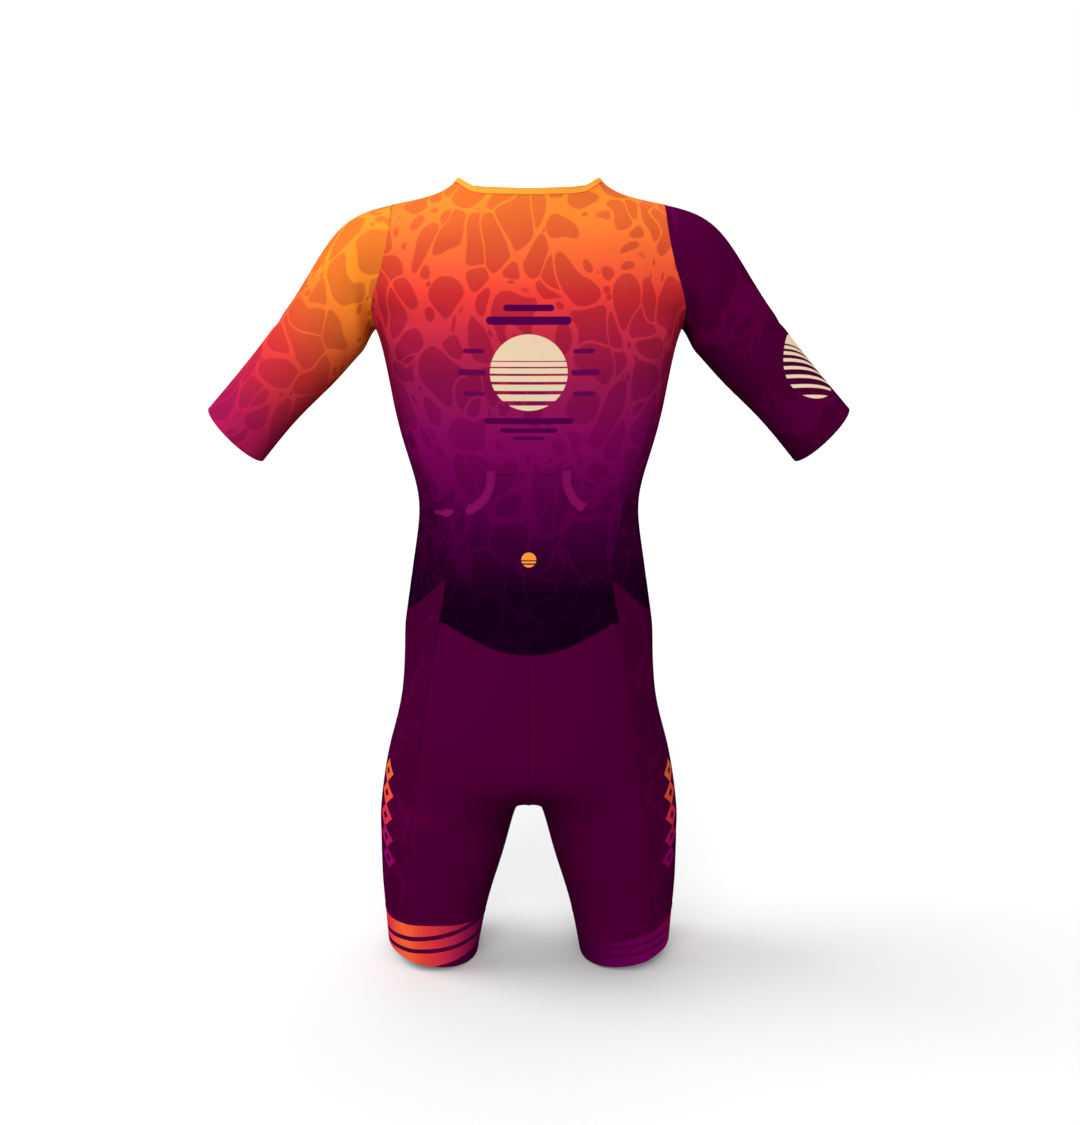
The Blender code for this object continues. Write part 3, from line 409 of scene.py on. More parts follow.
# soft troughs (minus) and ridges (plus) in the worn cloth: spot, direction, half length, half width, height, bend
creases = {
    "rows": [
        # back, fanning out from the armpits
        (0.150, 0.085, -0.150, -0.80, 0.15, -0.55, 0.045, 0.0085, -0.0010, 0.9),
        (0.158, 0.080, -0.178, -0.85, 0.20, -0.30, 0.038, 0.0090, -0.0009, 1.1),
        (0.136, 0.094, -0.128, -0.65, 0.10, -0.75, 0.036, 0.0080, -0.0008, -0.8),
        (-0.152, 0.085, -0.156, 0.82, 0.15, -0.50, 0.040, 0.0090, -0.0010, -0.9),
        (-0.160, 0.078, -0.186, 0.88, 0.20, -0.22, 0.034, 0.0085, -0.0008, -1.2),
        # waist
        (0.118, 0.045, -0.352, -0.70, 0.70, -0.05, 0.038, 0.0110, -0.0010, 1.2),
        (0.125, 0.030, -0.380, -0.60, 0.80, 0.10, 0.030, 0.0100, -0.0008, -1.0),
        (-0.120, 0.043, -0.346, 0.72, 0.70, -0.08, 0.042, 0.0105, -0.0010, -1.3),
        (-0.127, 0.028, -0.372, 0.62, 0.78, 0.12, 0.027, 0.0105, -0.0008, 1.0),
        (0.010, 0.086, -0.330, 1.00, 0.00, 0.03, 0.060, 0.0140, -0.0007, 0.4),
        (-0.015, 0.086, -0.352, 1.00, 0.00, -0.05, 0.045, 0.0120, -0.0006, -0.3),
        # seat and the backs of the thighs
        (0.045, 0.112, -0.690, 0.90, 0.10, 0.28, 0.048, 0.0130, -0.0014, 0.7),
        (-0.047, 0.112, -0.686, -0.90, 0.10, 0.30, 0.044, 0.0140, -0.0014, -0.7),
        (0.062, 0.100, -0.722, 0.92, 0.00, 0.12, 0.040, 0.0120, -0.0010, 0.5),
        (-0.060, 0.100, -0.716, -0.92, 0.00, 0.16, 0.043, 0.0115, -0.0010, -0.5),
        (0.130, 0.083, -0.795, 0.75, -0.60, 0.05, 0.034, 0.0120, -0.0008, 0.0),
        (-0.118, 0.086, -0.806, -0.80, -0.50, 0.02, 0.038, 0.0110, -0.0008, 0.0),
        # crotch, front and between the legs
        (0.040, -0.098, -0.672, 0.85, 0.00, 0.50, 0.046, 0.0110, -0.0015, -0.8),
        (0.052, -0.097, -0.648, 0.78, 0.00, 0.60, 0.036, 0.0100, -0.0012, -0.6),
        (-0.038, -0.098, -0.676, -0.86, 0.00, 0.48, 0.050, 0.0115, -0.0015, 0.8),
        (-0.055, -0.097, -0.650, -0.80, 0.00, 0.58, 0.034, 0.0095, -0.0011, 0.6),
        (0.060, -0.094, -0.706, 0.96, 0.10, 0.20, 0.040, 0.0115, -0.0013, 0.4),
        (-0.062, -0.094, -0.710, -0.96, 0.10, 0.16, 0.037, 0.0120, -0.0012, -0.4),
        # belly, where the zipped front folds a little
        (0.030, -0.104, -0.372, 1.00, 0.05, 0.04, 0.042, 0.0100, -0.0012, 0.6),
        (-0.036, -0.103, -0.388, 1.00, -0.05, -0.06, 0.046, 0.0105, -0.0012, 0.5),
        (0.044, -0.102, -0.428, 0.98, 0.08, 0.10, 0.040, 0.0110, -0.0010, 0.4),
        (-0.030, -0.104, -0.452, 1.00, 0.00, 0.08, 0.034, 0.0100, -0.0009, -0.5),
        (0.024, -0.107, -0.312, 1.00, 0.05, -0.08, 0.030, 0.0095, -0.0008, 0.5),
        # chest, fanning out from the armpits
        (0.132, -0.070, -0.150, -0.75, -0.45, -0.45, 0.040, 0.0090, -0.0012, 0.9),
        (0.122, -0.082, -0.182, -0.80, -0.45, -0.20, 0.034, 0.0085, -0.0009, 1.0),
        (-0.130, -0.072, -0.146, 0.76, -0.45, -0.45, 0.042, 0.0085, -0.0012, -0.9),
        (-0.126, -0.080, -0.176, 0.80, -0.40, -0.26, 0.031, 0.0090, -0.0009, -1.0),
        # sleeves: the nick in the outer line, the inner bend and the underarm
        (0.292, 0.000, -0.137, 0.10, 1.00, -0.05, 0.036, 0.0100, -0.0012, 0.0),
        (-0.290, 0.004, -0.135, 0.10, 1.00, 0.05, 0.034, 0.0105, -0.0012, 0.0),
        (0.212, 0.042, -0.158, 0.30, 0.75, 0.40, 0.030, 0.0085, -0.0011, 0.6),
        (0.236, 0.030, -0.196, 0.35, 0.80, 0.25, 0.026, 0.0080, -0.0010, 0.5),
        (-0.214, 0.040, -0.162, -0.32, 0.75, 0.38, 0.028, 0.0090, -0.0011, -0.6),
        (-0.240, 0.028, -0.200, -0.30, 0.82, 0.28, 0.028, 0.0080, -0.0010, -0.5),
        (0.228, -0.052, -0.130, 0.55, -0.20, 0.75, 0.030, 0.0090, -0.0013, 0.7),
        (0.256, -0.046, -0.168, 0.50, -0.15, 0.80, 0.026, 0.0085, -0.0012, 0.6),
        (-0.226, -0.053, -0.126, -0.58, -0.20, 0.72, 0.032, 0.0085, -0.0013, -0.7),
        (-0.259, -0.045, -0.172, -0.48, -0.15, 0.82, 0.024, 0.0090, -0.0012, -0.6),
        (0.332, 0.018, -0.252, 0.55, 0.60, 0.60, 0.024, 0.0090, -0.0008, 0.0),
        (-0.330, 0.020, -0.250, -0.55, 0.62, 0.58, 0.022, 0.0085, -0.0008, 0.0),
        # sides of the legs
        (0.172, -0.030, -0.760, -0.20, 0.98, 0.05, 0.034, 0.0110, -0.0009, 0.0),
        (-0.173, -0.020, -0.748, 0.20, 0.98, -0.04, 0.036, 0.0115, -0.0009, 0.0),
        (0.120, -0.086, -0.812, 0.90, 0.20, 0.10, 0.036, 0.0110, -0.0009, 0.0),
        (-0.116, -0.087, -0.822, -0.92, 0.18, 0.06, 0.033, 0.0115, -0.0009, 0.0),
    ],
    "reach": 0.035,      # a crease never shows through to the far wall
    "hemQuiet": 0.012,   # creases die out this near an open edge
}


def addCreases(spots, normals):
    moved = np.zeros(len(spots))
    for x, y, z, wayX, wayY, wayZ, length, width, height, bend in creases["rows"]:
        nearest = int(np.argmin(((spots - (x, y, z)) ** 2).sum(axis=1)))
        up, way = normals[nearest], np.array((wayX, wayY, wayZ))
        way = way - up * way.dot(up)
        way /= np.linalg.norm(way)
        gap = spots - spots[nearest]
        s, t, n = gap @ way, gap @ np.cross(up, way), gap @ up
        t = t - bend * s * s / length
        near = (np.abs(n) < creases["reach"]) & (np.abs(s) < 3 * length) & (np.abs(t) < 4 * width)
        near &= (normals @ up) > -0.1
        s, t = s[near] / length, t[near] / (width * (1 + 0.35 * s[near] / length))
        moved[near] += height * np.exp(-s * s) * (1 - 1.1 * t * t) * np.exp(-t * t)
    # open edges keep their line
    edge = sorted({v for pair in openEdges for v in pair})
    tree = KDTree(len(edge))
    for i, v in enumerate(edge):
        tree.insert(spots[v], i)
    tree.balance()
    for v in np.nonzero(np.abs(moved) > 2e-5)[0]:
        moved[v] *= min(1.0, tree.find(spots[v])[2] / creases["hemQuiet"]) ** 2
    return spots + normals * moved[:, None]


cage = buildCage()
points, faces, panels, flats = smoothForm(cage)
wholeUses = edgeUses(faces)
openEdges = {edge for edge, used in wholeUses.items() if len(used) == 1}
points = addCreases(points, normalsOf(points, faces))
normals = normalsOf(points, faces)
formTree = BVHTree.FromPolygons([tuple(p) for p in points], faces.tolist())
print("form:", len(faces), "faces")


def shell(name, mine, low, high, paints):
    # a thin closed wall between two offsets from some faces of the form, drawn back a little at its seams
    own, flat = faces[mine], flats[mine]
    rim = [used[0] for used in edgeUses(own).values() if len(used) == 1]
    inward = {}
    for a, b, f in rim:
        if (min(a, b), max(a, b)) not in openEdges:
            p = points[own[f]]
            out = np.cross(p[2] - p[0], p[3] - p[1])
            way = np.cross(out / np.linalg.norm(out), points[b] - points[a])
            for v in (a, b):
                inward.setdefault(v, []).append(way / np.linalg.norm(way))
    used = np.unique(own)
    count, place = len(used), np.zeros(len(points), int)
    place[used] = np.arange(count)
    moved = points[used].copy()
    for v, ways in inward.items():
        total = ways[0] if len(ways) == 1 else (ways[0] + ways[1]) / max(1 + ways[0].dot(ways[1]), 0.08)
        moved[place[v]] += 0.5 * suit["seamGap"] * total
    outer, edges = place[own], np.array([(a, b) for a, b, f in rim])
    a, b = place[edges].T
    sides = np.stack([b, a, a + count, b + count], axis=1)
    spots = np.concatenate([moved + high * normals[used], moved + low * normals[used]])
    mesh = newMesh(name, spots, np.concatenate([outer, outer[:, ::-1] + count, sides]).tolist())
    onFlat = np.zeros((len(points), 2))
    onFlat[own.ravel()] = flat.reshape(-1, 2)
    cloth = np.concatenate([flat, flat[:, ::-1], onFlat[edges][:, [1, 0, 0, 1]]])
    mesh.uv_layers.new(name="flat").data.foreach_set("uv", cloth.astype(np.float32).ravel())
    for paint in paints:
        mesh.materials.append(paint)
    kinds = np.zeros(len(mesh.polygons), int)
    kinds[len(own) : 2 * len(own)] = len(paints) - 1
    mesh.polygons.foreach_set("material_index", kinds)
    return placed(name, mesh)


def prism(outline, near, far):
    # a cutter: an outline in x and z, run along y
    count = len(outline)
    area = sum(a[0] * b[1] - b[0] * a[1] for a, b in zip(outline, outline[1:] + outline[:1]))
    order = list(range(count))[:: 1 if area > 0 else -1]
    sides = [(order[i], order[i - 1], order[i - 1] + count, order[i] + count) for i in range(count)]
    spots = [(x, y, z) for y in (near, far) for x, z in outline]
    thing = placed("cutter", newMesh("cutter", spots, [order, [i + count for i in order[::-1]], *sides]))
    thing.hide_render = True
    return thing


def boxOutline(xLow, xHigh, zLow, zHigh):
    return [(xLow, zLow), (xHigh, zLow), (xHigh, zHigh), (xLow, zHigh)]


def finishPiece(thing, softEdge=None, cut=None, operation="INTERSECT"):
    # cuts the piece with an outline that runs from one depth to another, rounds its edges and settles it
    if cut:
        knife = thing.modifiers.new("Cut", "BOOLEAN")
        knife.operation, knife.solver, knife.object = operation, "EXACT", prism(*cut)
    if softEdge:
        bevel = thing.modifiers.new("Soft edge", "BEVEL")
        bevel.width, bevel.segments, bevel.limit_method = softEdge, 2, "ANGLE"
        bevel.angle_limit, bevel.harden_normals = math.radians(50), True
    thing.data.shade_smooth()
    cutter = knife.object if cut else None
    piece = settled(thing)
    if cutter:
        bpy.data.objects.remove(cutter)
    if not softEdge:
        piece.data.set_sharp_from_angle(angle=suit["sharpAngle"])
    return piece


class Wire:
    # a value on its way through a node tree, so that its maths reads as Python
    def __init__(self, bench, socket):
        self.bench, self.socket = bench, socket

    def maths(self, operation, *others):
        return self.bench.maths(operation, self, *others)

    def __add__(self, other):
        return self.maths("ADD", other)

    def __sub__(self, other):
        return self.maths("SUBTRACT", other)

    def __mul__(self, other):
        return self.maths("MULTIPLY", other)

    def __truediv__(self, other):
        return self.maths("DIVIDE", other)

    def __rsub__(self, other):
        return self.bench.maths("SUBTRACT", other, self)

    def __rtruediv__(self, other):
        return self.bench.maths("DIVIDE", other, self)

    def __neg__(self):
        return self * -1.0

    __radd__, __rmul__ = __add__, __mul__


class Bench:
    # makes the nodes of a tree
    def __init__(self, tree):
        self.tree = tree

    def node(self, kind, settings=None, sockets=None, give=0):
        made = self.tree.nodes.new(kind)
        for name, value in (settings or {}).items():
            if name == "stops":
                elements = made.color_ramp.elements
                while len(elements) < len(value):
                    elements.new(0.5)
                for element, (place, colour) in zip(elements, value):
                    element.position, element.color = place, (*colour, 1.0)
            else:
                setattr(made, name, value)
        for name, value in (sockets or {}).items():
            self.plug(self.find(made.inputs, name), value)
        return Wire(self, self.find(made.outputs, give))

    def find(self, sockets, name):
        byWord = [socket for socket in sockets if socket.identifier == name]
        return byWord[0] if byWord else sockets[name]

    def plug(self, socket, value):
        if isinstance(value, Wire):
            self.tree.links.new(value.socket, socket)
        elif socket.type == "RGBA" and len(value) == 3:
            socket.default_value = (*value, 1.0)
        else:
            socket.default_value = value

    def maths(self, operation, *values):
        return self.node("ShaderNodeMath", {"operation": operation}, dict(enumerate(values)))

    def vector(self, operation, *values, give=0):
        return self.node("ShaderNodeVectorMath", {"operation": operation}, dict(enumerate(values)), give)

    def scaled(self, vector, amount):
        return self.node("ShaderNodeVectorMath", {"operation": "SCALE"}, {0: vector, "Scale": amount})

    def dot(self, vector, way):
        return self.vector("DOT_PRODUCT", vector, tuple(way), give="Value")

    def mix(self, part, first, second, blend="MIX"):
        settings = {"data_type": "RGBA", "blend_type": blend}
        sockets = {"Factor_Float": part, "A_Color": first, "B_Color": second}
        return self.node("ShaderNodeMix", settings, sockets, "Result_Color")

    def ramp(self, part, stops):
        return self.node("ShaderNodeValToRGB", {"stops": stops}, {"Fac": part}, "Color")

    def step(self, value, low, high):
        # 0 below low, 1 above high, smooth between
        settings = {"interpolation_type": "SMOOTHSTEP", "clamp": True}
        return self.node("ShaderNodeMapRange", settings, {"Value": value, "From Min": low, "From Max": high})

    def below(self, value, edge, soft):
        return 1.0 - self.step(value, edge - soft, edge + soft)

    def split(self, vector):
        made = self.node("ShaderNodeSeparateXYZ", {}, {0: vector}).socket.node
        return [Wire(self, made.outputs[i]) for i in range(3)]

    def join(self, x, y, z):
        return self.node("ShaderNodeCombineXYZ", {}, {0: x, 1: y, 2: z})


class Paint(Bench):
    # a material: its nodes start from the place on the object and end in finish
    def __init__(self, name, constants):
        self.material = bpy.data.materials.new(name)
        self.material.use_nodes = True
        super().__init__(self.material.node_tree)
        self.shader = self.tree.nodes["Principled BSDF"]
        for socket, value in constants.items():
            self.shader.inputs[socket].default_value = value
        self.where = self.node("ShaderNodeTexCoord", {}, {}, "Object")

    def noise(self, scale, detail):
        sockets = {"Vector": self.where, "Scale": scale, "Detail": detail}
        return self.node("ShaderNodeTexNoise", {}, sockets, "Fac")

    def finish(self, colour, roughness=None, height=None, depth=0.0):
        self.plug(self.shader.inputs["Base Color"], colour)
        if roughness:
            self.plug(self.shader.inputs["Roughness"], roughness)
            bump = self.node("ShaderNodeBump", {}, {"Height": height, "Distance": depth})
            self.plug(self.shader.inputs["Normal"], bump)
        return self.material


def linear(colour):
    return tuple((c / 255 / 12.92) if c <= 10 else ((c / 255 + 0.055) / 1.055) ** 2.4 for c in colour)


# the prints: the way their colours run, then each stop's place, vein colour and darker shape colour
prints = {
    "fade": {
        "way": (0.0, 0.0, 1.0),
        "stops": [
            (-0.520, (24, 0, 25), (19, 0, 20)),
            (-0.475, (25, 0, 26), (20, 0, 21)),
            (-0.433, (32, 0, 30), (24, 0, 24)),
            (-0.373, (73, 0, 60), (61, 0, 50)),
            (-0.322, (101, 1, 78), (89, 0, 68)),
            (-0.255, (136, 9, 96), (124, 6, 86)),
            (-0.187, (162, 28, 79), (138, 18, 70)),
            (-0.135, (202, 44, 68), (170, 29, 58)),
            (-0.092, (240, 64, 56), (200, 44, 48)),
            (-0.040, (250, 110, 52), (214, 84, 46)),
            (0.018, (254, 138, 44), (222, 108, 42)),
        ],
        "pattern": {"cell": 0.0360, "stretch": 0.66, "vein": 0.060, "reach": 0.57, "soft": 0.014},
    },
    "side": {
        "way": (0.0, 0.0, 1.0),
        "stops": [
            (-0.540, (28, 0, 28), (22, 0, 23)),
            (-0.440, (38, 0, 34), (28, 0, 27)),
            (-0.350, (76, 0, 60), (60, 0, 48)),
            (-0.262, (126, 6, 88), (104, 4, 72)),
            (-0.200, (164, 24, 82), (134, 14, 68)),
            (-0.145, (204, 42, 72), (170, 28, 58)),
            (-0.100, (236, 64, 62), (204, 48, 52)),
        ],
        "pattern": {"cell": 0.0220, "stretch": 0.75, "vein": 0.060, "reach": 0.60, "soft": 0.018},
    },
    "leftSleeve": {
        "way": (0.74, 0.0, -0.67),
        "stops": [
            (0.100, (250, 146, 42), (222, 118, 40)),
            (0.215, (250, 140, 42), (218, 110, 40)),
            (0.262, (242, 106, 48), (210, 86, 42)),
            (0.312, (222, 66, 54), (196, 50, 48)),
            (0.362, (198, 42, 66), (174, 34, 60)),
            (0.405, (176, 28, 80), (152, 22, 72)),
            (0.450, (166, 22, 84), (144, 18, 74)),
        ],
        "pattern": {"cell": 0.0360, "stretch": 0.70, "vein": 0.060, "reach": 0.57, "soft": 0.014},
    },
    "rightSleeve": {
        "way": (0.0, 0.0, 1.0),
        "stops": [(-0.300, (80, 0, 54), (68, 0, 45)), (0.000, (94, 0, 64), (78, 0, 53))],
        "pattern": {"cell": 0.0560, "stretch": 0.75, "vein": 0.030, "reach": 0.64, "soft": 0.010},
    },
    "shorts": {
        "way": (0.0, 0.0, 1.0),
        "stops": [(-0.900, (77, 0, 52), (77, 0, 52)), (-0.450, (74, 0, 51), (74, 0, 51))],
    },
    "shortsSide": {
        "way": (0.0, 0.0, 1.0),
        "stops": [(-0.900, (80, 0, 55), (70, 0, 47)), (-0.450, (76, 0, 53), (68, 0, 46))],
        "pattern": {"cell": 0.0330, "stretch": 0.75, "vein": 0.035, "reach": 0.64, "soft": 0.012},
    },
    # the pocket's thread, darker than the print around it: a dark thread, and along the pocket's top also painted
    # shade under the pocket's edge
    "mouth": {"way": (0.0, 0.0, 1.0), "stops": [(-0.4, (84, 2, 64), (66, 0, 50)), (-0.1, (84, 2, 64), (66, 0, 50))]},
}
knit = {
    "jersey": {"wale": 0.0011, "course": 0.0013, "depth": 0.00005, "holes": 0.0},
    "mesh": {"wale": 0.0018, "course": 0.0020, "depth": 0.00012, "holes": 0.22},
    "warp": {"wale": 0.0009, "course": 0.0016, "depth": 0.00004, "holes": 0.0},
    "rib": {"wale": 0.0016, "course": 0.0007, "depth": 0.00010, "holes": 0.0},
}
# how the shapes of a print swell and join, and the size and room of the dots between them
shapes = {
    "wander": ((0.8, 0.45), (1.3, 0.75)), "blend": 0.24, "finer": 2.6, "roomMost": 0.42, "roomLeast": 0.135,
}
clothShine = {"Roughness": 0.88, "Specular IOR Level": 0.0}


def shapesMask(paint, spec, shift):
    # long rounded shapes with veins between them, and round dots where the veins leave room
    size, finer = 1.0 / spec["cell"], shapes["finer"]
    place = paint.vector("MULTIPLY", paint.vector("ADD", paint.where, shift), (1.0, 1.0, spec["stretch"]))
    for amount, scale in shapes["wander"]:
        sockets = {"Vector": place, "Scale": scale * size, "Detail": 0.0}
        drift = paint.vector("SUBTRACT", paint.node("ShaderNodeTexNoise", {}, sockets, "Color"), (0.5, 0.5, 0.5))
        place = paint.vector("ADD", place, paint.scaled(drift, amount * spec["cell"]))

    def cells(spot, feature, scale=size, loose=0.95, **more):
        sockets = {"Vector": spot, "Scale": scale, "Randomness": loose, **more}
        return paint.node("ShaderNodeTexVoronoi", {"feature": feature}, sockets, "Distance")

    def inside(spot):
        edge = cells(spot, "DISTANCE_TO_EDGE") - spec["vein"]
        centre = (spec["reach"] - cells(spot, "SMOOTH_F1", Smoothness=0.3)) * 0.8
        return edge.maths("SMOOTH_MIN", centre, shapes["blend"]) + shapes["blend"] * 0.13

    small = cells(place, "F1", finer * size, 0.9)
    middle = Wire(paint, small.socket.node.outputs["Position"])
    room = (inside(middle) * -finer + 0.04).maths("MINIMUM", shapes["roomMost"])
    dots = paint.step(room - small, -0.03, 0.03) * paint.step(room, shapes["roomLeast"], shapes["roomLeast"] + 0.001)
    return paint.step(inside(place), -spec["soft"], spec["soft"]).maths("MAXIMUM", dots)


def printColour(paint, spec, column):
    low, high = spec["stops"][0][0], spec["stops"][-1][0]
    stops = [((row[0] - low) / (high - low), linear(row[column])) for row in spec["stops"]]
    return paint.ramp((paint.dot(paint.where, spec["way"]) - low) / (high - low), stops)


def knitHeight(paint, spec):
    # wales side by side and courses one above the other, from the place on the flat cloth, and the mesh's holes
    u, v, _ = paint.split(paint.node("ShaderNodeUVMap", {"uv_map": "flat"}))
    wale, lean = ((u * (math.pi / spec["wale"])).maths(wave).maths("ABSOLUTE") for wave in ("SINE", "COSINE"))
    course = (v * (2 * math.pi / spec["course"]) + lean * 1.6).maths("SINE") * 0.5 + 0.5
    height = wale * 0.65 + course * 0.35
    if not spec["holes"]:
        return height, None
    across, down = ((place * (2 * math.pi / spec[way])).maths("SINE") for place, way in ((u, "wale"), (v, "course")))
    holes = paint.step(across * down, 0.55, 0.9)
    return height - holes * 1.4, holes


def clothMaterial(name, printed, weave, shift, motifs=(), reverse=False):
    paint, spec = Paint(name, clothShine), prints[printed]
    colour = printColour(paint, spec, 1)
    if "pattern" in spec:
        colour = paint.mix(shapesMask(paint, spec["pattern"], shift), colour, printColour(paint, spec, 2))
    for motif in motifs:
        colour = motif(paint, colour)
    if reverse:  # the print hardly shows on the inside
        colour = paint.mix(0.55, colour, linear((196, 186, 190)))
    # the dye takes a little unevenly
    cloud = paint.noise(38.0, 3.0)
    dim = paint.mix(1.0, colour, (0.75, 0.70, 0.78), "MULTIPLY")
    colour = paint.mix(paint.step(cloud, 0.35, 0.75) * 0.07, colour, dim)
    height, holes = knitHeight(paint, knit[weave])
    # painted shade: darker in the knit's grooves, and darker still in the mesh's holes
    colour = paint.mix((1.0 - height).maths("MAXIMUM", 0.0) * 0.10, colour, (0.011, 0.0, 0.011))
    if holes:
        colour = paint.mix(holes * knit[weave]["holes"], colour, (0.010, 0.0, 0.010))
    return paint.finish(colour, 0.83 + cloud * 0.12, height, knit[weave]["depth"])


def plainMaterial(name, colour, constants, weave=None):
    paint = Paint(name, constants)
    height, depth = paint.noise(600.0, 2.0), 0.00003
    light, dark = linear(colour), tuple(0.6 * c for c in linear(colour))
    tint = paint.mix(paint.step(height, 0.35, 0.7) * 0.32, light, dark)
    roughness = constants["Roughness"] - 0.06 + height * 0.12
    if weave:
        height, depth = knitHeight(paint, knit[weave])[0], knit[weave]["depth"]
        # painted shade: darker in the knit's grooves
        tint = paint.mix((1.0 - height).maths("MAXIMUM", 0.0) * 0.22, tint, dark)
    return paint.finish(tint, roughness, height, depth)


# flat shapes on the cloth: slit discs, level bars and lozenges
motifs = {
    "cream": (240, 214, 180), "plum": (84, 0, 74), "dimPlum": (104, 8, 78), "orange": (255, 150, 56), "soft": 0.0004,
    # middle and radius, then the slits: height of each and its half width, as parts of the radius
    "backSun": {
        "spot": (0.0, -0.178), "radius": 0.043,
        "slits": [(-0.80, 0.060), (-0.52, 0.048), (-0.27, 0.038), (-0.05, 0.029), (0.14, 0.021), (0.30, 0.014)],
    },
    "lowSun": {"spot": (0.0, -0.3950), "radius": 0.0085, "slits": [(-0.55, 0.10), (-0.10, 0.08)]},
    "sleeveSun": {
        "middle": (-0.2955, -0.007, -0.212), "axis": (-0.6505, -0.049, -0.758), "edge": (-0.759, 0.0, 0.651),
        "girth": 0.0475, "arc": 0.0240, "along": -0.0072, "radius": 0.0420,
        "slits": [(-0.80, 0.100), (-0.52, 0.085), (-0.27, 0.072), (-0.05, 0.060), (0.15, 0.048), (0.33, 0.037),
                  (0.49, 0.027)],
    },
    # middle x, middle z, half length, half height
    "bars": [
        (0.0, -0.2330, 0.0500, 0.0034), (0.0, -0.2440, 0.0320, 0.0026), (0.0, -0.2530, 0.0180, 0.0018),
        (0.0, -0.1200, 0.0470, 0.0046), (0.0, -0.1060, 0.0280, 0.0036),
    ],
    "shortBars": [
        (0.0610, -0.1540, 0.0120, 0.0026), (0.0630, -0.1780, 0.0160, 0.0034), (0.0610, -0.2020, 0.0120, 0.0026),
    ],
    # measured round the leg from its outer side
    "lozenges": {
        "middle": (0.100, 0.002), "radius": 0.085, "arc": 0.0465, "top": -0.664, "step": 0.0270,
        "half": (0.0175, 0.0145), "lean": 0.05,
        "colours": [(230, 98, 54), (230, 74, 56), (204, 44, 72), (160, 22, 88), (132, 8, 92)],
    },
}


def onBack(paint, spec):
    # across and up from a spot on the back, and a mask that keeps off the front
    x, depth, z = paint.split(paint.where)
    return x - spec["spot"][0], z - spec["spot"][1], paint.step(depth, 0.060, 0.064)


def roundSleeve(paint, spec):
    # the same round the right sleeve, as if it were rolled out flat and turned level
    axis, edge = Vector(spec["axis"]).normalized(), Vector(spec["edge"]).normalized()
    gap = paint.vector("SUBTRACT", paint.where, spec["middle"])
    along, out, behind = (paint.dot(gap, way) for way in (axis, edge, axis.cross(edge)))
    arc = behind.maths("ARCTAN2", out) * spec["girth"] - spec["arc"]
    along = along - spec["along"]
    return arc * edge.x - along * axis.x, along * axis.z - arc * edge.z, 1.0


def sunMotif(spec, measure, colour):
    # a plain disc cut by level slits that widen downwards
    radius, soft = spec["radius"], motifs["soft"]

    def draw(paint, under):
        across, rise, keep = measure(paint, spec)
        mask = paint.below((across * across + rise * rise).maths("SQRT"), radius, soft) * keep
        for height, half in spec["slits"]:
            away = (rise - height * radius).maths("ABSOLUTE")
            mask = mask * paint.step(away, half * radius - soft, half * radius + soft)
        return paint.mix(mask, under, linear(motifs[colour]))

    return draw


def barMotif(paint, under):
    # rounded level bars on the back, and short ones at the disc's sides
    x, depth, z = paint.split(paint.where)
    behind = paint.step(depth, 0.0, 0.004)
    bars = [(*bar, "plum") for bar in motifs["bars"]]
    bars += [(side * midX, *bar, "dimPlum") for midX, *bar in motifs["shortBars"] for side in (1, -1)]
    for midX, midZ, half, thick, colour in bars:
        wide = ((x - midX).maths("ABSOLUTE") - (half - thick)).maths("MAXIMUM", 0.0)
        high = z - midZ
        far = (wide * wide + high * high).maths("SQRT")
        under = paint.mix(paint.below(far, thick, motifs["soft"]) * behind, under, linear(motifs[colour]))
    return under


def lozengeMotif(side):
    # a column of lozenges down the outer leg, each in its own colour
    spec = motifs["lozenges"]

    def draw(paint, under):
        x, y, z = paint.split(paint.where)
        swept = (y - spec["middle"][1]).maths("ARCTAN2", x * side - spec["middle"][0]) * spec["radius"]
        for i, colour in enumerate(spec["colours"]):
            drop = i * spec["step"]
            across = (swept - (spec["arc"] + spec["lean"] * drop)) / spec["half"][0]
            reach = across.maths("ABSOLUTE") + ((z - (spec["top"] - drop)) / spec["half"][1]).maths("ABSOLUTE")
            ring = paint.below(reach, 1.0, 0.05) * (1.0 - paint.below(reach, 0.36, 0.05))
            under = paint.mix(ring, under, linear(colour))
        return under

    return draw


# the hem bands: colours by angle round the leg (outer side 0, back 90, inner side 180), and dark stripes
legBands = {
    "middle": (0.1184, -0.003), "hem": (-0.902, 0.009, -0.002), "rise": (20.0, 170.0), "ground": (77, 0, 52),
    1: {
        "colours": [(0, (204, 40, 84)), (28, (212, 42, 80)), (42, (232, 58, 62)), (60, (240, 96, 50)),
                    (72, (236, 88, 50)), (84, (228, 62, 56)), (102, (206, 42, 66)), (125, (158, 26, 78)),
                    (150, (116, 12, 78)), (180, (98, 0, 82))],
        # height above the hem at the outer side and how much it climbs to the inner side, half width
        "stripes": [(0.0205, 0.0350, 0.0029), (0.0070, 0.0270, 0.0028)],
        "top": (0.0420, 0.0120, 35.0, 105.0), "foot": (-0.0180, 0.0360),
    },
    -1: {
        "colours": [(0, (214, 44, 74)), (20, (206, 40, 74)), (30, (142, 14, 80)), (50, (118, 4, 84)),
                    (80, (104, 0, 78)), (105, (88, 0, 68)), (130, (74, 0, 57)), (180, (64, 0, 52))],
        "stripes": [(0.0260, -0.0030, 0.0014), (0.0140, -0.0010, 0.0014)],
        "top": (0.0385, -0.0090, 35.0, 130.0), "foot": (-0.0300, 0.0),
    },
}


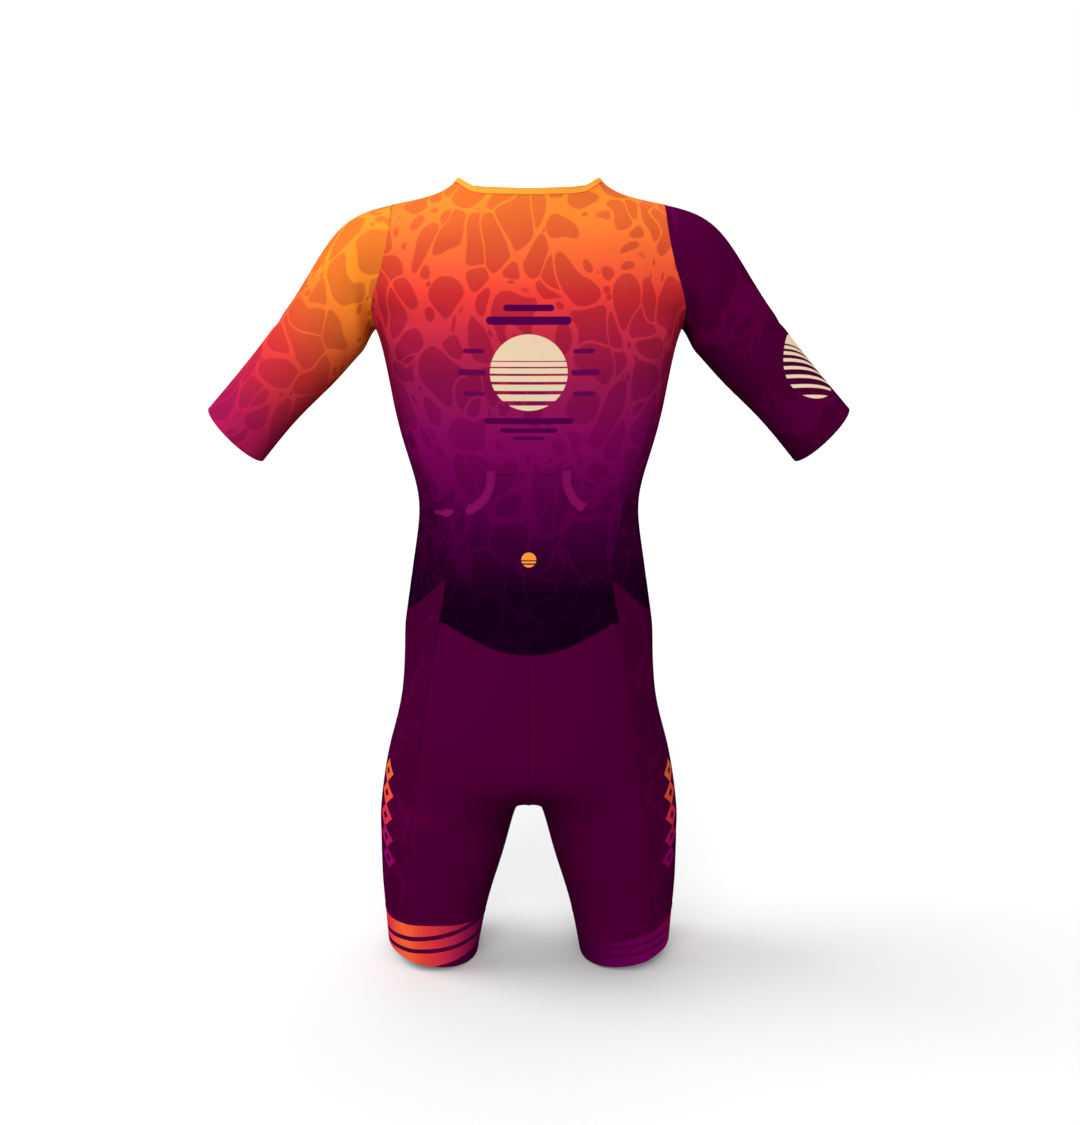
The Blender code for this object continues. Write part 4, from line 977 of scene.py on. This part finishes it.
def bandMaterial(name, side):
    paint, spec = Paint(name, clothShine), legBands[side]
    x, y, z = paint.split(paint.where)
    across, behind = x * side - legBands["middle"][0], y - legBands["middle"][1]
    angle = behind.maths("ABSOLUTE").maths("ARCTAN2", across) * (180 / math.pi)
    reach = (across * across + behind * behind).maths("SQRT")
    base, lean, dip = legBands["hem"]
    height = z - (across / reach * lean + (behind / reach) * (behind / reach) * dip + base)
    climb = paint.step(angle, *legBands["rise"])
    colour = paint.ramp(angle / 180, [(place / 180, linear(shade)) for place, shade in spec["colours"]])
    dark, soft = linear(legBands["ground"]), 0.00035
    for start, rise, half in spec["stripes"]:
        away = (height - (climb * rise + start)).maths("ABSOLUTE")
        colour = paint.mix(paint.below(away, half, soft), colour, dark)
    start, rise, low, high = spec["top"]
    top = paint.step(angle, low, high) * rise + start
    colour = paint.mix(paint.step(height - top, -soft, soft), colour, dark)
    start, rise = spec["foot"]
    colour = paint.mix(paint.step(climb * rise + start - height, -soft, soft), colour, dark)
    grain, rib = paint.noise(60.0, 2.0), knitHeight(paint, knit["rib"])[0]
    # painted shade: darker in the rib's grooves
    colour = paint.mix((1.0 - rib).maths("MAXIMUM", 0.0) * 0.12, colour, (0.012, 0.002, 0.010))
    colour = paint.mix(paint.step(grain, 0.3, 0.7) * 0.08, colour, (0.05, 0.0, 0.03))
    return paint.finish(colour, 0.80 + grain * 0.12, rib, knit["rib"]["depth"])


bindingShine = {"Roughness": 0.8, "Specular IOR Level": 0.05}
tapeCloth = plainMaterial("zipTapeWeave", (26, 3, 26), {"Roughness": 0.7, "Specular IOR Level": 0.25}, "rib")
coilPlastic = plainMaterial("zipCoilPlastic", (24, 8, 24), {"Roughness": 0.42, "Specular IOR Level": 0.45})
orangeBinding = plainMaterial("neckBindingKnit", (255, 160, 50), bindingShine, "rib")
magentaBinding = plainMaterial("mouthBindingKnit", (134, 10, 95), bindingShine, "rib")

# each panel's material name, print, knit, place in the print and motifs
backArt = (
    barMotif, sunMotif(motifs["backSun"], onBack, "cream"), sunMotif(motifs["lowSun"], onBack, "orange"),
)
sleeveArt = (sunMotif(motifs["sleeveSun"], roundSleeve, "cream"),)
cloths = {"backPanel": ("backKnit", "fade", "jersey", (0.0, 0.0, 0.0), backArt)}
for side, word, shift in ((1, "Left", (0.31, 0.12, 0.07)), (-1, "Right", (0.83, 0.41, 0.53))):
    column = (lozengeMotif(side),)
    cloths["front" + word] = ("frontKnit" + word, "fade", "jersey", shift)
    cloths["side" + word] = ("sideKnit" + word, "side", "mesh", shift)
    cloths["shortsFront" + word] = ("shortsFrontKnit" + word, "shorts", "warp", shift)
    cloths["shortsBack" + word] = ("shortsBackKnit" + word, "shorts", "warp", shift, column)
    cloths["shortsSide" + word] = ("shortsSideKnit" + word, "shortsSide", "warp", shift, column)
cloths["sleeveLeft"] = ("leftSleeveKnit", "leftSleeve", "jersey", (0.13, 0.64, 0.37))
cloths["sleeveRight"] = ("rightSleeveKnit", "rightSleeve", "jersey", (0.2, 0.7, 0.4), sleeveArt)
for panel, (title, *given) in cloths.items():
    cloths[panel] = [clothMaterial(title, *given), clothMaterial(title + "Inside", *given[:3], reverse=True)]
gripper = {"Roughness": 0.5, "Specular IOR Level": 0.4}
for side, word in bothSides:
    cloths["legBand" + word] = [
        bandMaterial("bandKnit" + word, side), plainMaterial("gripperKnit" + word, (60, 10, 48), gripper, "rib"),
    ]
cloths["neckBinding"] = [orangeBinding, orangeBinding]
print("materials ready")


zipFacts = {
    "slotHalf": 0.0042, "top": -0.046, "end": -0.497, "tapeWidth": 0.013, "tapeWall": 0.0008, "tapeLow": -0.0025,
    "sliderTop": -0.0475, "sliderLength": 0.0110, "coilHalf": 0.0024, "coilWall": (-0.0012, -0.0006),
    "near": 0.02,  # how far from the middle the faces behind the zip reach
}
made = {}


def ofPanel(name):
    return np.nonzero(panels == panelNames.index(name))[0]


def besideZip(mine):
    return mine[np.abs(points[faces[mine]][:, :, 0]).min(axis=1) < zipFacts["near"]]


for panel, paints in cloths.items():
    folded = panel == "neckBinding"
    piece = shell(panel, ofPanel(panel), *(suit["bindingWall"] if folded else (-suit["cloth"], 0.0)), paints)
    cut = None
    if folded or panel.startswith("front"):
        half = zipFacts["slotHalf"]
        cut = (boxOutline(-half, half, zipFacts["end"], 0.05), -0.2, -0.02)
    made[panel] = finishPiece(piece, suit["bindingEdge" if folded else "softEdge"], cut, "DIFFERENCE")
print("panels cut and hemmed:", len(made))


# the rear pocket: mouth line as x, z, width of the binding on the left and on the right
pocket = {
    "mouth": [
        (0.0425, -0.2915, 0.0104, 0.0104), (0.0436, -0.3085, 0.0104, 0.0104), (0.0488, -0.3220, 0.0104, 0.0104),
        (0.0555, -0.3310, 0.0104, 0.0104), (0.0630, -0.3365, 0.0104, 0.0104), (0.0695, -0.3398, 0.0104, 0.0000),
        (0.0750, -0.3400, 0.0016, 0.0000), (0.0840, -0.3415, 0.0016, 0.0000), (0.0900, -0.3440, 0.0066, 0.0000),
        (0.0960, -0.3462, 0.0088, 0.0000), (0.1025, -0.3468, 0.0048, 0.0000), (0.1300, -0.3510, 0.0000, 0.0000),
    ],
    "top": -0.2922, "wall": 0.0008, "bindingWall": 0.0015, "bindingEdge": 0.0004, "steps": 9,
    "reach": 0.16, "sideLow": -0.349, "bottom": -0.56, "back": -0.25,
    "thin": (0.0712, 0.0868),  # between these the left binding is only a narrow edge in the print
}


def curvePoints(rows, steps):
    # a smooth curve through rows of numbers
    rows = [np.array(row, float) for row in rows]
    ends = [2 * rows[0] - rows[1], *rows, 2 * rows[-1] - rows[-2]]
    out = []
    for i in range(1, len(ends) - 2):
        a, b, c, d = ends[i - 1 : i + 3]
        for k in range(steps):
            t = k / steps
            bent = (2 * a - 5 * b + 4 * c - d) * t * t + (3 * b - a - 3 * c + d) * t**3
            out.append(0.5 * (2 * b + (c - a) * t + bent))
    return np.array([*out, rows[-1]])


def mouthSides(side):
    # the binding's two edges, the way across it, its width, and where it ends
    curve = curvePoints(pocket["mouth"], pocket["steps"])
    column = 2 if side > 0 else 3
    middle, width = curve[:, :2], np.maximum(curve[:, column], 0)
    way = np.gradient(middle, axis=0)
    way /= np.linalg.norm(way, axis=1)[:, None]
    off = np.stack([-way[:, 1], way[:, 0]], axis=1)
    rows = np.array([row[column] for row in pocket["mouth"]])
    last = pocket["steps"] * int(np.nonzero(rows)[0].max()) + (pocket["steps"] // 3 if side > 0 else 0)
    return middle + off * width[:, None] / 2, middle - off * width[:, None] / 2, off, width, last


backFaces = ofPanel("backPanel")
lowBack = backFaces[points[faces[backFaces]][:, :, 2].min(axis=1) < pocket["back"]]
layGap = suit["layGap"]
outline = []
for side, word in bothSides:
    name = "mouthBinding" + word
    over, under, off, width, last = mouthSides(side)
    strip = [(float(x) * side, float(z)) for x, z in (*over[: last + 1], *under[: last + 1][::-1])]
    piece = shell(name, lowBack, layGap, layGap + pocket["bindingWall"], [magentaBinding])
    made[name] = finishPiece(piece, pocket["bindingEdge"], (strip, 0.03, 0.16))
    made[name].data.materials.append(cloths["backPanel"][0])
    for face in made[name].data.polygons:
        if pocket["thin"][0] < face.center.x < pocket["thin"][1]:
            face.material_index = 1
    edge = under - off * np.where(width > 0, suit["seamGap"], 0)[:, None]
    edge = [(float(x) * side, float(z)) for x, z in edge if z < pocket["top"]]
    reach = pocket["reach"] * side
    outline.append([(edge[0][0], pocket["top"]), *edge, (reach, pocket["sideLow"]), (reach, pocket["bottom"])])
piece = shell("pocketPanel", lowBack, layGap, layGap + pocket["wall"], cloths["backPanel"])
made["pocketPanel"] = finishPiece(piece, suit["softEdge"], (outline[0] + outline[1][::-1], 0.03, 0.17))

# zip tapes behind the fronts
for side, word in bothSides:
    low, near = zipFacts["tapeLow"], besideZip(ofPanel("front" + word))
    piece = shell("zipTape" + word, near, low, low + zipFacts["tapeWall"], [tapeCloth])
    strip = boxOutline(*sorted((-0.01 * side, zipFacts["tapeWidth"] * side)), zipFacts["end"] + 0.004, zipFacts["top"])
    made["zipTape" + word] = finishPiece(piece, None, (strip, -0.2, 0.0))
print("pocket and zip tapes laid")


# the closed coil of the zip: a woven-in strip with one small tooth after another, left and right in turn
coil = {
    "teeth": {"Pitch": 0.00125, "Half span": 0.0021, "Radius": 0.00036, "Lift": -0.0004},
    "step": 0.004, "startGap": 0.002, "endGap": 0.001, "sliderGap": 0.0004,
    "ball": (8, 6), "fill": (0.22, 0.78, 1.25, 1.5),  # each tooth's shift and size, as parts of its span and radius
}


def frontDepth(z):
    # y of the centre front at a height, and the way out of the cloth there
    middle = np.nonzero((np.abs(points[:, 0]) < 1e-6) & (points[:, 1] < -0.03))[0]
    order = middle[np.argsort(points[middle, 2])]
    heights, depths = points[order, 2], points[order, 1]
    step = coil["step"]
    lower, upper = (np.interp(z + s, heights, depths) for s in (-step, step))
    way = np.array((0.0, -2 * step, upper - lower))
    return float(np.interp(z, heights, depths)), way / np.linalg.norm(way)


def growAlong(name, lines, build, values):
    # runs a geometry tree along lines of points, each with the way out of the cloth there
    edges, start = [], 0
    for line in lines:
        edges += [(start + i, start + i + 1) for i in range(len(line) - 1)]
        start += len(line)
    mesh = newMesh(name, [place for line in lines for place, out in line], [], edges)
    outs = np.array([out for line in lines for place, out in line], np.float32)
    mesh.attributes.new("outward", "FLOAT_VECTOR", "POINT").data.foreach_set("vector", outs.ravel())
    thing = placed(name, mesh)
    group = bpy.data.node_groups.new(name + "Tree", "GeometryNodeTree")
    group.interface.new_socket("Path", in_out="INPUT", socket_type="NodeSocketGeometry")
    sockets = {}
    for title, value in values.items():
        kind = "NodeSocketFloat" if isinstance(value, float) else "NodeSocketMaterial"
        sockets[title] = group.interface.new_socket(title, in_out="INPUT", socket_type=kind)
    group.interface.new_socket("Mesh", in_out="OUTPUT", socket_type="NodeSocketGeometry")
    bench = Bench(group)
    inputs = {socket.name: Wire(bench, socket) for socket in group.nodes.new("NodeGroupInput").outputs if socket.name}
    solid = bench.node("GeometryNodeRealizeInstances", {}, {0: build(bench, inputs)})
    painted = bench.node("GeometryNodeSetMaterial", {}, {0: solid, "Material": inputs["Thread"]})
    bench.plug(group.nodes.new("NodeGroupOutput").inputs[0], painted)
    modifier = thing.modifiers.new("Grow", "NODES")
    modifier.node_group = group
    for title, value in values.items():
        modifier[sockets[title].identifier] = value
    return settled(thing)


def alongPath(bench, inputs, aside=None):
    # even steps along the path, lifted off the cloth, some moved aside, and the ways out of the cloth and along it
    curve = bench.node("GeometryNodeMeshToCurve", {}, {0: inputs["Path"]})
    even = bench.node("GeometryNodeResampleCurve", {"mode": "LENGTH"}, {"Curve": curve, "Length": inputs["Pitch"]})
    settings = {"data_type": "FLOAT_VECTOR"}
    outward = bench.node("GeometryNodeInputNamedAttribute", settings, {"Name": "outward"}, "Attribute")
    along = bench.node("GeometryNodeInputTangent")
    offset = bench.scaled(outward, inputs["Lift"])
    if aside:
        turns = (bench.node("GeometryNodeInputIndex").maths("MODULO", 2.0) - 0.5) * 2.0
        offset = bench.vector("ADD", offset, aside(outward, along, turns))
    return bench.node("GeometryNodeSetPosition", {}, {"Geometry": even, "Offset": offset}), outward, along


def grains(bench, spots, ball, size, turn):
    # a small ball on each spot, drawn out to a size and turned
    sockets = {"Segments": ball[0], "Rings": ball[1], "Radius": 1.0}
    grain = bench.node("GeometryNodeMeshUVSphere", {}, sockets)
    sized = bench.node("GeometryNodeTransform", {}, {"Geometry": grain, "Scale": bench.join(*size)})
    return bench.node("GeometryNodeInstanceOnPoints", {}, {"Points": spots, "Instance": sized, "Rotation": turn})


def zigzagTree(bench, inputs):
    # one thread that crosses a seam back and forth
    def aside(outward, along, turns):
        across = bench.vector("NORMALIZE", bench.vector("CROSS_PRODUCT", outward, along))
        return bench.scaled(across, turns * inputs["Reach"])

    line = alongPath(bench, inputs, aside)[0]
    ring = bench.node("GeometryNodeCurvePrimitiveCircle", {}, {"Resolution": 4, "Radius": inputs["Radius"]})
    return bench.node("GeometryNodeCurveToMesh", {}, {"Curve": line, "Profile Curve": ring, "Fill Caps": True})


def stitchTree(bench, inputs):
    # separate short stitches in a row, each sunk at its ends
    line, outward, along = alongPath(bench, inputs)
    turn = bench.node("FunctionNodeAlignRotationToVector", {"axis": "Z"}, {"Vector": along})
    sockets = {"Rotation": turn, "Vector": outward}
    turn = bench.node("FunctionNodeAlignRotationToVector", {"axis": "X", "pivot_axis": "Z"}, sockets)
    size = inputs["Radius"], inputs["Radius"] * sewing["flat"], inputs["Half length"]
    return grains(bench, line, sewing["ball"], size, turn)


def coilTree(bench, inputs):
    # the loops of the coil, one after another, crossing the middle line
    shift, wide, thick, long = coil["fill"]
    span, radius = inputs["Half span"], inputs["Radius"]
    line, _, along = alongPath(bench, inputs, lambda out, way, turns: bench.join(turns * span * shift, 0.0, 0.0))
    turn = bench.node("FunctionNodeAlignRotationToVector", {"axis": "Z"}, {"Vector": along})
    return grains(bench, line, coil["ball"], (span * wide, radius * thick, radius * long), turn)


def joined(name, parts):
    # several meshes as one piece, each keeping its materials
    with bpy.context.temp_override(active_object=parts[0], selected_editable_objects=parts, object=parts[0],
                                   selected_objects=parts):
        bpy.ops.object.join()
    parts[0].name = parts[0].data.name = name
    return parts[0]


coilTop = zipFacts["sliderTop"] - zipFacts["sliderLength"] - coil["sliderGap"]
near = besideZip(np.concatenate([ofPanel("frontLeft"), ofPanel("frontRight")]))
half, end = zipFacts["coilHalf"], zipFacts["end"]
strip = shell("coilStrip", near, *zipFacts["coilWall"], [coilPlastic])
strip = finishPiece(strip, None, (boxOutline(-half, half, end, coilTop), -0.2, 0.0))
line = []
for z in np.arange(end + coil["startGap"], coilTop - coil["endGap"], coil["step"]):
    y, out = frontDepth(z)
    line.append(((0.0, y, z), out))
teeth = growAlong("coilTeeth", [line], coilTree, {**coil["teeth"], "Thread": coilPlastic})
made["zipCoil"] = joined("zipCoil", [strip, teeth])
print("zip coil grown")


# sewing: seams between panels, hems, bindings and the edges of the zip
sewing = {
    "zigzag": {"Pitch": 0.0013, "Reach": 0.0011, "Radius": 0.00022, "Lift": 0.00022},
    "stitch": {"Pitch": 0.0024, "Half length": 0.0009, "Radius": 0.00022, "Lift": 0.00020},
    "tack": {"Pitch": 0.0005, "Reach": 0.0009},
    "ball": (6, 4), "flat": 0.9,
    "tape": (0.0026, suit["cloth"] + 0.0001, suit["cloth"] + 0.0005),  # half width, near and far side behind the seam
    "zipGap": (0.0004, -0.02, 0.0005),  # how far past the zip's slot the seams stop
    # rows beside the zip and their spacing, and the bar tack's half length, count and place below the zip
    "zipRows": (0.0018, 0.0052), "rowStep": 0.004, "tackRow": (0.0058, 7, 0.0022),
    # the pocket's top rows, their half length and count, and how far a mouth's rows stay off its edges
    "pocketTop": (0.0020, 0.0044), "pocketRow": (0.034, 30), "inset": (0.0013, 0.35), "narrow": 0.004, "skip": 2,
}


def threadMaterial(name, printed):
    paint = Paint(name, {"Roughness": 0.85, "Specular IOR Level": 0.0})
    sockets = {"Vector": paint.where, "Scale": 900.0}
    twist = paint.node("ShaderNodeTexWave", {"bands_direction": "DIAGONAL"}, sockets, "Fac")
    light = paint.mix(1.0, printColour(paint, prints[printed], 2), (1.5, 1.5, 1.5), "MULTIPLY")
    colour = paint.mix(twist * 0.3, light, (0.02, 0.0, 0.02))
    return paint.finish(colour, 0.75 + twist * 0.15, twist, 0.00004)


def seamLines(pairs):
    # the edges between neighbouring panels, put in order as lines that stop at the zip
    def wanted(used):
        names = sorted({panelNames[panels[face]] for *_, face in used})
        return len(names) == 2 and pairs(*names)

    links = {}
    for a, b in {pair for pair, used in wholeUses.items() if wanted(used)}:
        links.setdefault(a, []).append(b)
        links.setdefault(b, []).append(a)
    lines, used = [], set()
    for first in [v for v in sorted(links) if len(links[v]) != 2] + sorted(links):
        for second in links[first]:
            line, a, b = [first], first, second
            while (min(a, b), max(a, b)) not in used:
                used.add((min(a, b), max(a, b)))
                line.append(b)
                if len(links[b]) == 2:
                    a, b = b, sum(links[b]) - a
            lines.append(line)
    kept = []
    aside, front, below = sewing["zipGap"]
    for line in lines:
        kept.append([])
        for v in line:
            x, y, z = points[v]
            if abs(x) < zipFacts["slotHalf"] + aside and y < front and z > zipFacts["end"] - below:
                kept.append([])
            else:
                kept[-1].append((points[v], normals[v]))
    return [line for line in kept if len(line) > 2]


def seamTape(name, lines, paint):
    # the seam allowance behind a seam: a flat strip that follows it on the inside
    spots, quads = [], []
    half, near, far = sewing["tape"]
    for line in lines:
        places, ups = (np.array(column) for column in zip(*line))
        ways = np.gradient(places, axis=0)
        if np.allclose(places[0], places[-1]):
            ways[0] = ways[-1] = places[1] - places[-2]
        across = np.cross(ups, ways)
        across /= np.linalg.norm(across, axis=1)[:, None]
        start, end = len(spots), len(spots) + 4 * (len(line) - 1)
        for p, n, a in zip(places, ups, across):
            spots += [p - a * half - n * near, p + a * half - n * near, p + a * half - n * far, p - a * half - n * far]
        for k in range(start, end, 4):
            quads += [(k + j, k + (j + 1) % 4, k + 4 + (j + 1) % 4, k + 4 + j) for j in range(4)]
        quads += [(start + 3, start + 2, start + 1, start), (end, end + 1, end + 2, end + 3)]
    mesh = newMesh(name, spots, quads)
    shape = bmesh.new()
    shape.from_mesh(mesh)
    bmesh.ops.recalc_face_normals(shape, faces=shape.faces)
    shape.to_mesh(mesh)
    shape.free()
    mesh.materials.append(paint)
    mesh.shade_smooth()
    mesh.set_sharp_from_angle(angle=suit["sharpAngle"])
    return placed(name, mesh)


def isShorts(name):
    return name.startswith(("shorts", "legBand"))


def isJersey(name):
    return not isShorts(name) and not name.startswith("sleeve")


def sewn(name, lines, tree, printed, **changed):
    usual = sewing["stitch" if tree is stitchTree else "zigzag"]
    return growAlong(name, lines, tree, {**usual, **changed, "Thread": threadPaints[printed]})


threadPaints = {
    printed: threadMaterial(title + "Thread", printed)
    for printed, title in (
        ("fade", "jersey"), ("shorts", "shorts"), ("leftSleeve", "leftSleeve"), ("rightSleeve", "rightSleeve"),
        ("mouth", "mouth"),
    )
}
# each piece of sewing: which neighbours it joins, its thread's print, its tape's panel and its slot
threads = {
    "jerseySeams": (lambda a, b: isJersey(a) and not b.startswith("sleeve"), "fade", "backPanel", "knit_fade"),
    "shortsSeams": (lambda a, b: isShorts(b) and not b.startswith("legBand") and not a.startswith("legBand"),
                    "shorts", "shortsBackLeft", "knit_shorts"),
    "bandSeams": (lambda a, b: a.startswith("legBand"), "shorts", "shortsBackLeft", "knit_shorts"),
    "leftArmhole": (lambda a, b: b == "sleeveLeft", "leftSleeve", "sleeveLeft", "knit_sleeve_left"),
    "rightArmhole": (lambda a, b: b == "sleeveRight", "rightSleeve", "sleeveRight", "knit_sleeve_right"),
}
for name, (pairs, printed, panel, _) in threads.items():
    lines = seamLines(pairs)
    tape = seamTape(name + "Tape", lines, cloths[panel][0])
    made[name] = joined(name, [sewn(name, lines, zigzagTree, printed), tape])
    print("sewn", name, len(lines), "lines", len(made[name].data.polygons), "faces")


def onCloth(spots, fromBack=False, lift=0.0):
    # a line over the form through places seen from behind or in front, and the way out of the cloth at each
    line, side = [], 1 if fromBack else -1
    for x, z in spots:
        hit = formTree.ray_cast(Vector((x, 0.5 * side, z)), Vector((0, -side, 0)))
        place, out = np.array(hit[0]), np.array(hit[1])
        line.append((place + out * lift, out))
    return line


heights = np.arange(zipFacts["end"] + 0.0005, zipFacts["top"] - 0.001, sewing["rowStep"])
zipRows = [
    onCloth([((zipFacts["slotHalf"] + off) * side, z) for z in heights])
    for side, word in bothSides for off in sewing["zipRows"]
]
reach, count, below = sewing["tackRow"]
tack = onCloth([(x, zipFacts["end"] - below) for x in np.linspace(-reach, reach, count)])
made["zipStitches"] = joined("zipStitches", [
    sewn("zipStitches", zipRows, stitchTree, "fade"), sewn("zipTack", [tack], zigzagTree, "fade", **sewing["tack"]),
])
# the two dark rows along the pocket's top also paint the shade under its edge
reach, count = sewing["pocketRow"]
across = np.linspace(-reach, reach, count)
pocketRows = [
    onCloth([(x, pocket["top"] - low) for x in across], True, layGap + pocket["wall"]) for low in sewing["pocketTop"]
]
for side, word in bothSides:
    over, under, off, width, last = mouthSides(side)
    skip, (most, part) = sewing["skip"], sewing["inset"]
    last -= skip if side < 0 else 0
    inset = off * np.minimum(most, width * part)[:, None]
    for row in (over - inset, under + inset):
        wide = [k for k in range(skip, last) if width[k] > sewing["narrow"]]
        for run in np.split(wide, np.nonzero(np.diff(wide) > 1)[0] + 1):
            spots = [(row[k][0] * side, row[k][1]) for k in run]
            pocketRows.append(onCloth(spots, True, layGap + pocket["bindingWall"]))
pocketRows = [row for row in pocketRows if len(row) > 2]
made["pocketStitches"] = sewn("pocketStitches", pocketRows, stitchTree, "mouth")

# slider and pull tab keep their solids and get lacquered metal
lacquer = Paint("zipLacquer", {
    "Roughness": 0.32, "Metallic": 0.0, "Specular IOR Level": 0.5, "Coat Weight": 0.5, "Coat Roughness": 0.2})
grain, smudge = lacquer.noise(420.0, 3.0), lacquer.noise(90.0, 2.0)
colour = lacquer.mix(lacquer.step(smudge, 0.4, 0.8) * 0.4, linear((22, 8, 22)), linear((52, 30, 50)))
lacquer.finish(colour, 0.24 + grain * 0.22, grain, 0.00002)
for node in ("zip_slider", "zip_pull_tab"):
    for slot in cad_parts[node].material_slots:
        slot.material = lacquer.material


# each piece's node and slot, and the size it was cut to before it is stretched on: width, length and area in metres
sheets = {
    "backPanel": ("back_panel", "knit_fade", 0.380, 0.525, 0.144),
    "pocketPanel": ("pocket_panel", "knit_fade", 0.250, 0.195, 0.0325),
    "neckBinding": ("neck_binding", "binding_orange", 0.0100, 0.470, None),
}
for side, word in bothSides:
    end = "_" + word.lower()
    sheets["front" + word] = ("front" + end, "knit_fade", 0.198, 0.455, 0.0612)
    sheets["side" + word] = ("side" + end, "knit_side", 0.170, 0.298, 0.0415)
    sheets["sleeve" + word] = ("sleeve" + end, "knit_sleeve" + end, 0.415, 0.246, 0.0825)
    sheets["shortsFront" + word] = ("shorts_front" + end, "knit_shorts", 0.250, 0.372, 0.0563)
    sheets["shortsBack" + word] = ("shorts_back" + end, "knit_shorts", 0.220, 0.328, 0.0484)
    sheets["shortsSide" + word] = ("shorts_side" + end, "knit_shorts", 0.175, 0.372, 0.0606)
    sheets["legBand" + word] = ("leg_band" + end, "band" + end, 0.405, 0.0485, None)
    sheets["zipTape" + word] = ("zip_tape" + end, "zip_tape", 0.0130, 0.455, None)
sheets["mouthBindingLeft"] = ("pocket_binding_left", "binding_magenta", 0.0120, 0.108, None)
sheets["mouthBindingRight"] = ("pocket_binding_right", "binding_magenta", 0.0120, 0.068, None)
for name, (node, slot, wide, long, area) in sheets.items():
    piece = made[name]
    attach(piece, "suit")
    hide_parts(node)
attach(made["zipCoil"], "suit")
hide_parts("zip_coil")
slots = {"zipStitches": "knit_fade", "pocketStitches": "binding_magenta"}
for name, slot in {**slots, **{name: row[-1] for name, row in threads.items()}}.items():
    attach(made[name], "suit")
print("pieces placed:", len(made))


studio = {
    "camera": (0.0, 2.3, 0.1496), "tilt": 76.1, "lens": 64.0, "shift": 11.2 / 1125,
    "floorLift": 0.0005, "floorSize": 90.0,
    # brightness of the surroundings by height of the direction: below, horizon, above
    "sky": [(0.0, 0.16), (0.484, 0.20), (0.487, 1.0), (0.54, 1.0), (0.66, 0.46), (1.0, 0.60)],
    "skyBehind": 0.9,  # how much brighter it is on the side away from the camera
    # where each soft light comes from, how strong and how wide it is
    "lamps": {"key": ((2.4, -0.28, 2.3), 1.75, 40), "fill": ((0.35, 3.0, 1.2), 2.05, 50)},
}
paleFloor = Paint("paleFloor", {"Roughness": 0.85, "Specular IOR Level": 0.1})
paleFloor.finish(paleFloor.mix(paleFloor.noise(3.0, 2.0) * 0.06, (0.785, 0.785, 0.785), (0.76, 0.76, 0.76)))

camera = placed("camera", bpy.data.cameras.new("camera"))
camera.location = studio["camera"]
camera.rotation_euler = (math.radians(studio["tilt"]), 0.0, math.pi)
camera.data.lens, camera.data.sensor_width, camera.data.shift_x = studio["lens"], 36.0, studio["shift"]
camera.data.clip_end = 100.0
bpy.context.scene.camera = camera

size, level = studio["floorSize"] / 2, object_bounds()[0][2] - studio["floorLift"]
corners = [(-size, -size, level), (size, -size, level), (size, size, level), (-size, size, level)]
floor = placed("floor", newMesh("floor", corners, [(0, 1, 2, 3)]))
floor.data.materials.append(paleFloor.material)
floor.visible_diffuse = False  # the surroundings below light the cloth instead, more dimly

for name, (source, strength, width) in studio["lamps"].items():
    lamp = placed(name, bpy.data.lights.new(name, "SUN"))
    lamp.data.energy, lamp.data.angle = strength, math.radians(width)
    lamp.location = source
    lamp.rotation_euler = Vector(source).to_track_quat("Z", "Y").to_euler()
world = bpy.data.worlds.new("studio")
world.use_nodes = True
bench = Bench(world.node_tree)
_, depth, rise = bench.split(bench.node("ShaderNodeTexCoord", {}, {}, "Generated"))
height = rise * 0.5 + 0.5
sky = bench.ramp(height, [(place, (c, c, c)) for place, c in studio["sky"]])
away = bench.step(-depth, 0.0, 0.8) * bench.step(height, 0.53, 0.62) * studio["skyBehind"]
bench.plug(world.node_tree.nodes["Background"].inputs["Color"], bench.vector("ADD", sky, bench.join(away, away, away)))
bpy.context.scene.world = world
bpy.context.scene.view_settings.view_transform = "Standard"
print("studio set")
